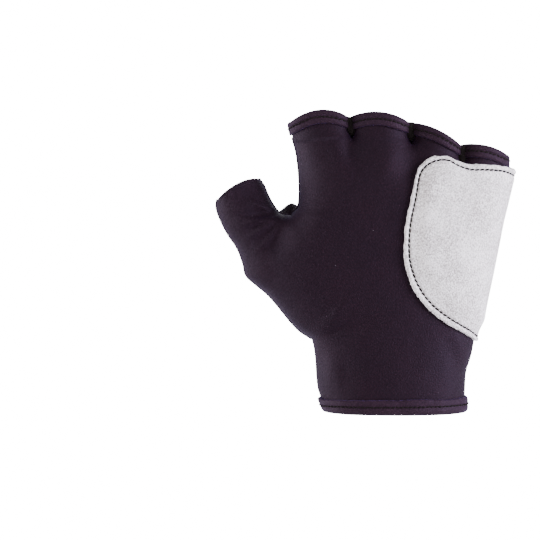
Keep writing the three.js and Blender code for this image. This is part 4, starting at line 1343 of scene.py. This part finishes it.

# %% [markdown]
# ## Tacks between the fingers, with painted shade in the valleys
# Between two fingers both faces are sewn through with a dense zigzag, so that the openings do not
# tear. Each tack is the same stitch, laid crosswise and very close, down the valley on both faces.
# The black patch is partly painted shade: it is laid wide and long enough to stand in for the
# shadow of the pinched valley between the fingers as well as for the thread.

# %% Tack threads, partly painted shade
# Height off the cloth below the hems, what the hems add, and where that starts
tack_sink, tack_climb, climb_start, climb_run = -0.6, 1.7, -2.4, 3.0


def tack_path(column, face, low, high):
    """A line down the valley, at the height of the cloth and the hems on both sides of it."""
    k = hand[:, column]
    z = pz[k]
    beside = [skin[face][hand[:, column + shift], 1] for shift in (-margin_cells, margin_cells)]
    line = np.linspace(z[finger_hem_row] + low, z[top_row] + high, 24)
    rise = tack_sink + tack_climb * ease((line - z[finger_hem_row] - climb_start) / climb_run)
    y = np.interp(line, z, sum(beside) / 2) + sides[face] * rise
    facing = np.tile([0.0, sides[face] * 1.0, 0.0], (len(line), 1))
    return np.stack([np.interp(line, z, px[k]), y, line], -1), facing, False


# Ends of each row, from the hems' lower edge and from the finger edge; the narrow one ends the tack
tack_rows = {
    "tack_stitches_and_valley_shade": (-0.5, edge_fold * 0.9),
    "tack_ends_and_valley_shade": (-1.9, -finger_hem_height + edge_fold - 0.9),
}
# The tack threads are real bar tacks and also painted shade: their black fills the shadow of the pinched
# valley
tacks_and_valley_shade = []
for name, (low, high) in tack_rows.items():
    tacks_and_valley_shade.append(sew(name, [tack_path(c, f, low, high) for c in tack_columns for f in sides]))

# %% [markdown]
# ## Where each piece rides
# Each piece rides on the one body and stands for the solid pieces it dresses, which are hidden.

# %% Ride and replace
dressed = [
    (back_cloth, ["back_panel"], "stretch_cloth"),
    (palm_cloth, ["palm_panel"], "stretch_cloth"),
    (wrist_hem, ["wrist_hem"], "hem_cloth"),
    (finger_hems["index"], ["hem_index"], "hem_cloth"),
    (finger_hems["middle"], ["hem_middle_back", "hem_middle_palm"], "hem_cloth"),
    (finger_hems["ring"], ["hem_ring_back", "hem_ring_palm"], "hem_cloth"),
    (finger_hems["little"], ["hem_little"], "hem_cloth"),
    (pad, ["suede_pad"], "suede"),
    (pad_stitches, [], "thread"),
    (hem_stitches, [], "thread"),
    (tacks_and_valley_shade[0], [], "thread"),
    (tacks_and_valley_shade[1], [], "thread"),
    (seam_welts, [], "stretch_cloth"),
    (seam_loops, [], "thread"),
]
for piece, nodes, slot in dressed:
    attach(piece, "root")
    if nodes:
        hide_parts(*nodes)
# Both panels were cut flat as the hand's outline, and the hand stretches them
print(len(dressed), "pieces")

# %% [markdown]
# ## Camera, light and floor
# The photograph looks almost level at the back of the hand from far away, through a long lens, so
# nothing narrows towards the fingers. A soft light stands at each side, which gives dark cloth its
# pale edges, with weaker ones in front, above and behind, in a white room.

# %% Camera
frame_middle = Vector((-57.3 * MM, 0, 65.3 * MM))
frame_width = 248.4 * MM
distance, elevation = 1.2, math.radians(3)
camera_data = bpy.data.cameras.new("camera")
camera_data.sensor_width = 36
camera_data.lens = 36 * distance / frame_width
camera_data.clip_end = 50
camera = link("camera", camera_data)
camera.location = frame_middle + Vector((0, -math.cos(elevation), math.sin(elevation))) * distance
camera.rotation_euler = (math.pi / 2 - elevation, 0, 0)
bpy.context.scene.camera = camera
print("lens", round(camera_data.lens), "mm")


# %% Soft lights
# Name, place and size in metres, watts and colour; all look at the middle of the glove
softboxes = [
    ("key", (-0.6, -1.3, 1.2), 0.9, 11, "#fffaf5"),
    ("fill", (0.7, -1.3, 0.3), 0.9, 4, "#f6f8ff"),
    ("left edge", (-1.25, 0.0, 0.1), 0.8, 39, "#fcf3fc"),
    ("right edge", (1.15, -0.5, 0.35), 0.8, 54, "#f1edff"),
    ("back fill", (0.2, 1.4, 0.9), 1.0, 6, "#ffffff"),
]
glove_middle = Vector((0, 0, 0.07))
for name, at, size, power, colour in softboxes:
    lamp = bpy.data.lights.new(name, "AREA")
    lamp.shape, lamp.size, lamp.energy = "DISK", size, power
    lamp.color = linear(colour)[:3]
    light = link(name, lamp)
    light.location = at
    light.rotation_euler = (glove_middle - Vector(at)).to_track_quat("-Z", "Y").to_euler()
print(len(softboxes), "soft lights")

# %% White room
# How bright the white room looks to the camera, and how much it lights the glove
white_seen, room_light = 18.0, 0.46
world = bpy.data.worlds.new("white room")
bpy.context.scene.world = world
world.use_nodes = True
seen_straight = add_node(world.node_tree, "ShaderNodeLightPath").outputs["Is Camera Ray"]
levels = {0: seen_straight, 1: white_seen - room_light, 2: room_light}
strength = add_node(world.node_tree, "ShaderNodeMath", levels, operation="MULTIPLY_ADD").outputs[0]
background = world.node_tree.nodes["Background"]
background.inputs["Color"].default_value = linear("#ffffff")
world.node_tree.links.new(strength, background.inputs["Strength"])
print("room light", room_light)

# %% Pale floor, which glows to the camera by what the lights don't give it
floor_lit, floor_half, floor_drop = 2.0, 20, -0.09
floor_material, tree, shader = finish_material("pale floor", "#f7f7f7", 0.9, 0.0, 0, "#ffffff")
shader.inputs["Emission Color"].default_value = linear("#ffffff")
seen_straight = add_node(tree, "ShaderNodeLightPath").outputs["Is Camera Ray"]
levels = {0: seen_straight, 1: white_seen - floor_lit}
glow = add_node(tree, "ShaderNodeMath", levels, operation="MULTIPLY").outputs[0]
tree.links.new(glow, shader.inputs["Emission Strength"])
floor_mesh = bpy.data.meshes.new("floor")
corner_signs = [(-1, -1), (1, -1), (1, 1), (-1, 1)]
floor_corners = [(floor_half * x, floor_half * y, floor_drop) for x, y in corner_signs]
floor_mesh.from_pydata(floor_corners, [], [(0, 1, 2, 3)])
floor_mesh.materials.append(floor_material)
floor = link("floor", floor_mesh)
floor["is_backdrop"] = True
print("floor", 2 * floor_half, "m wide")

# %% Sizes of the dressed model
low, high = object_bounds()
print("dressed model", [round(1000 * (b - a), 1) for a, b in zip(low, high)], "mm")
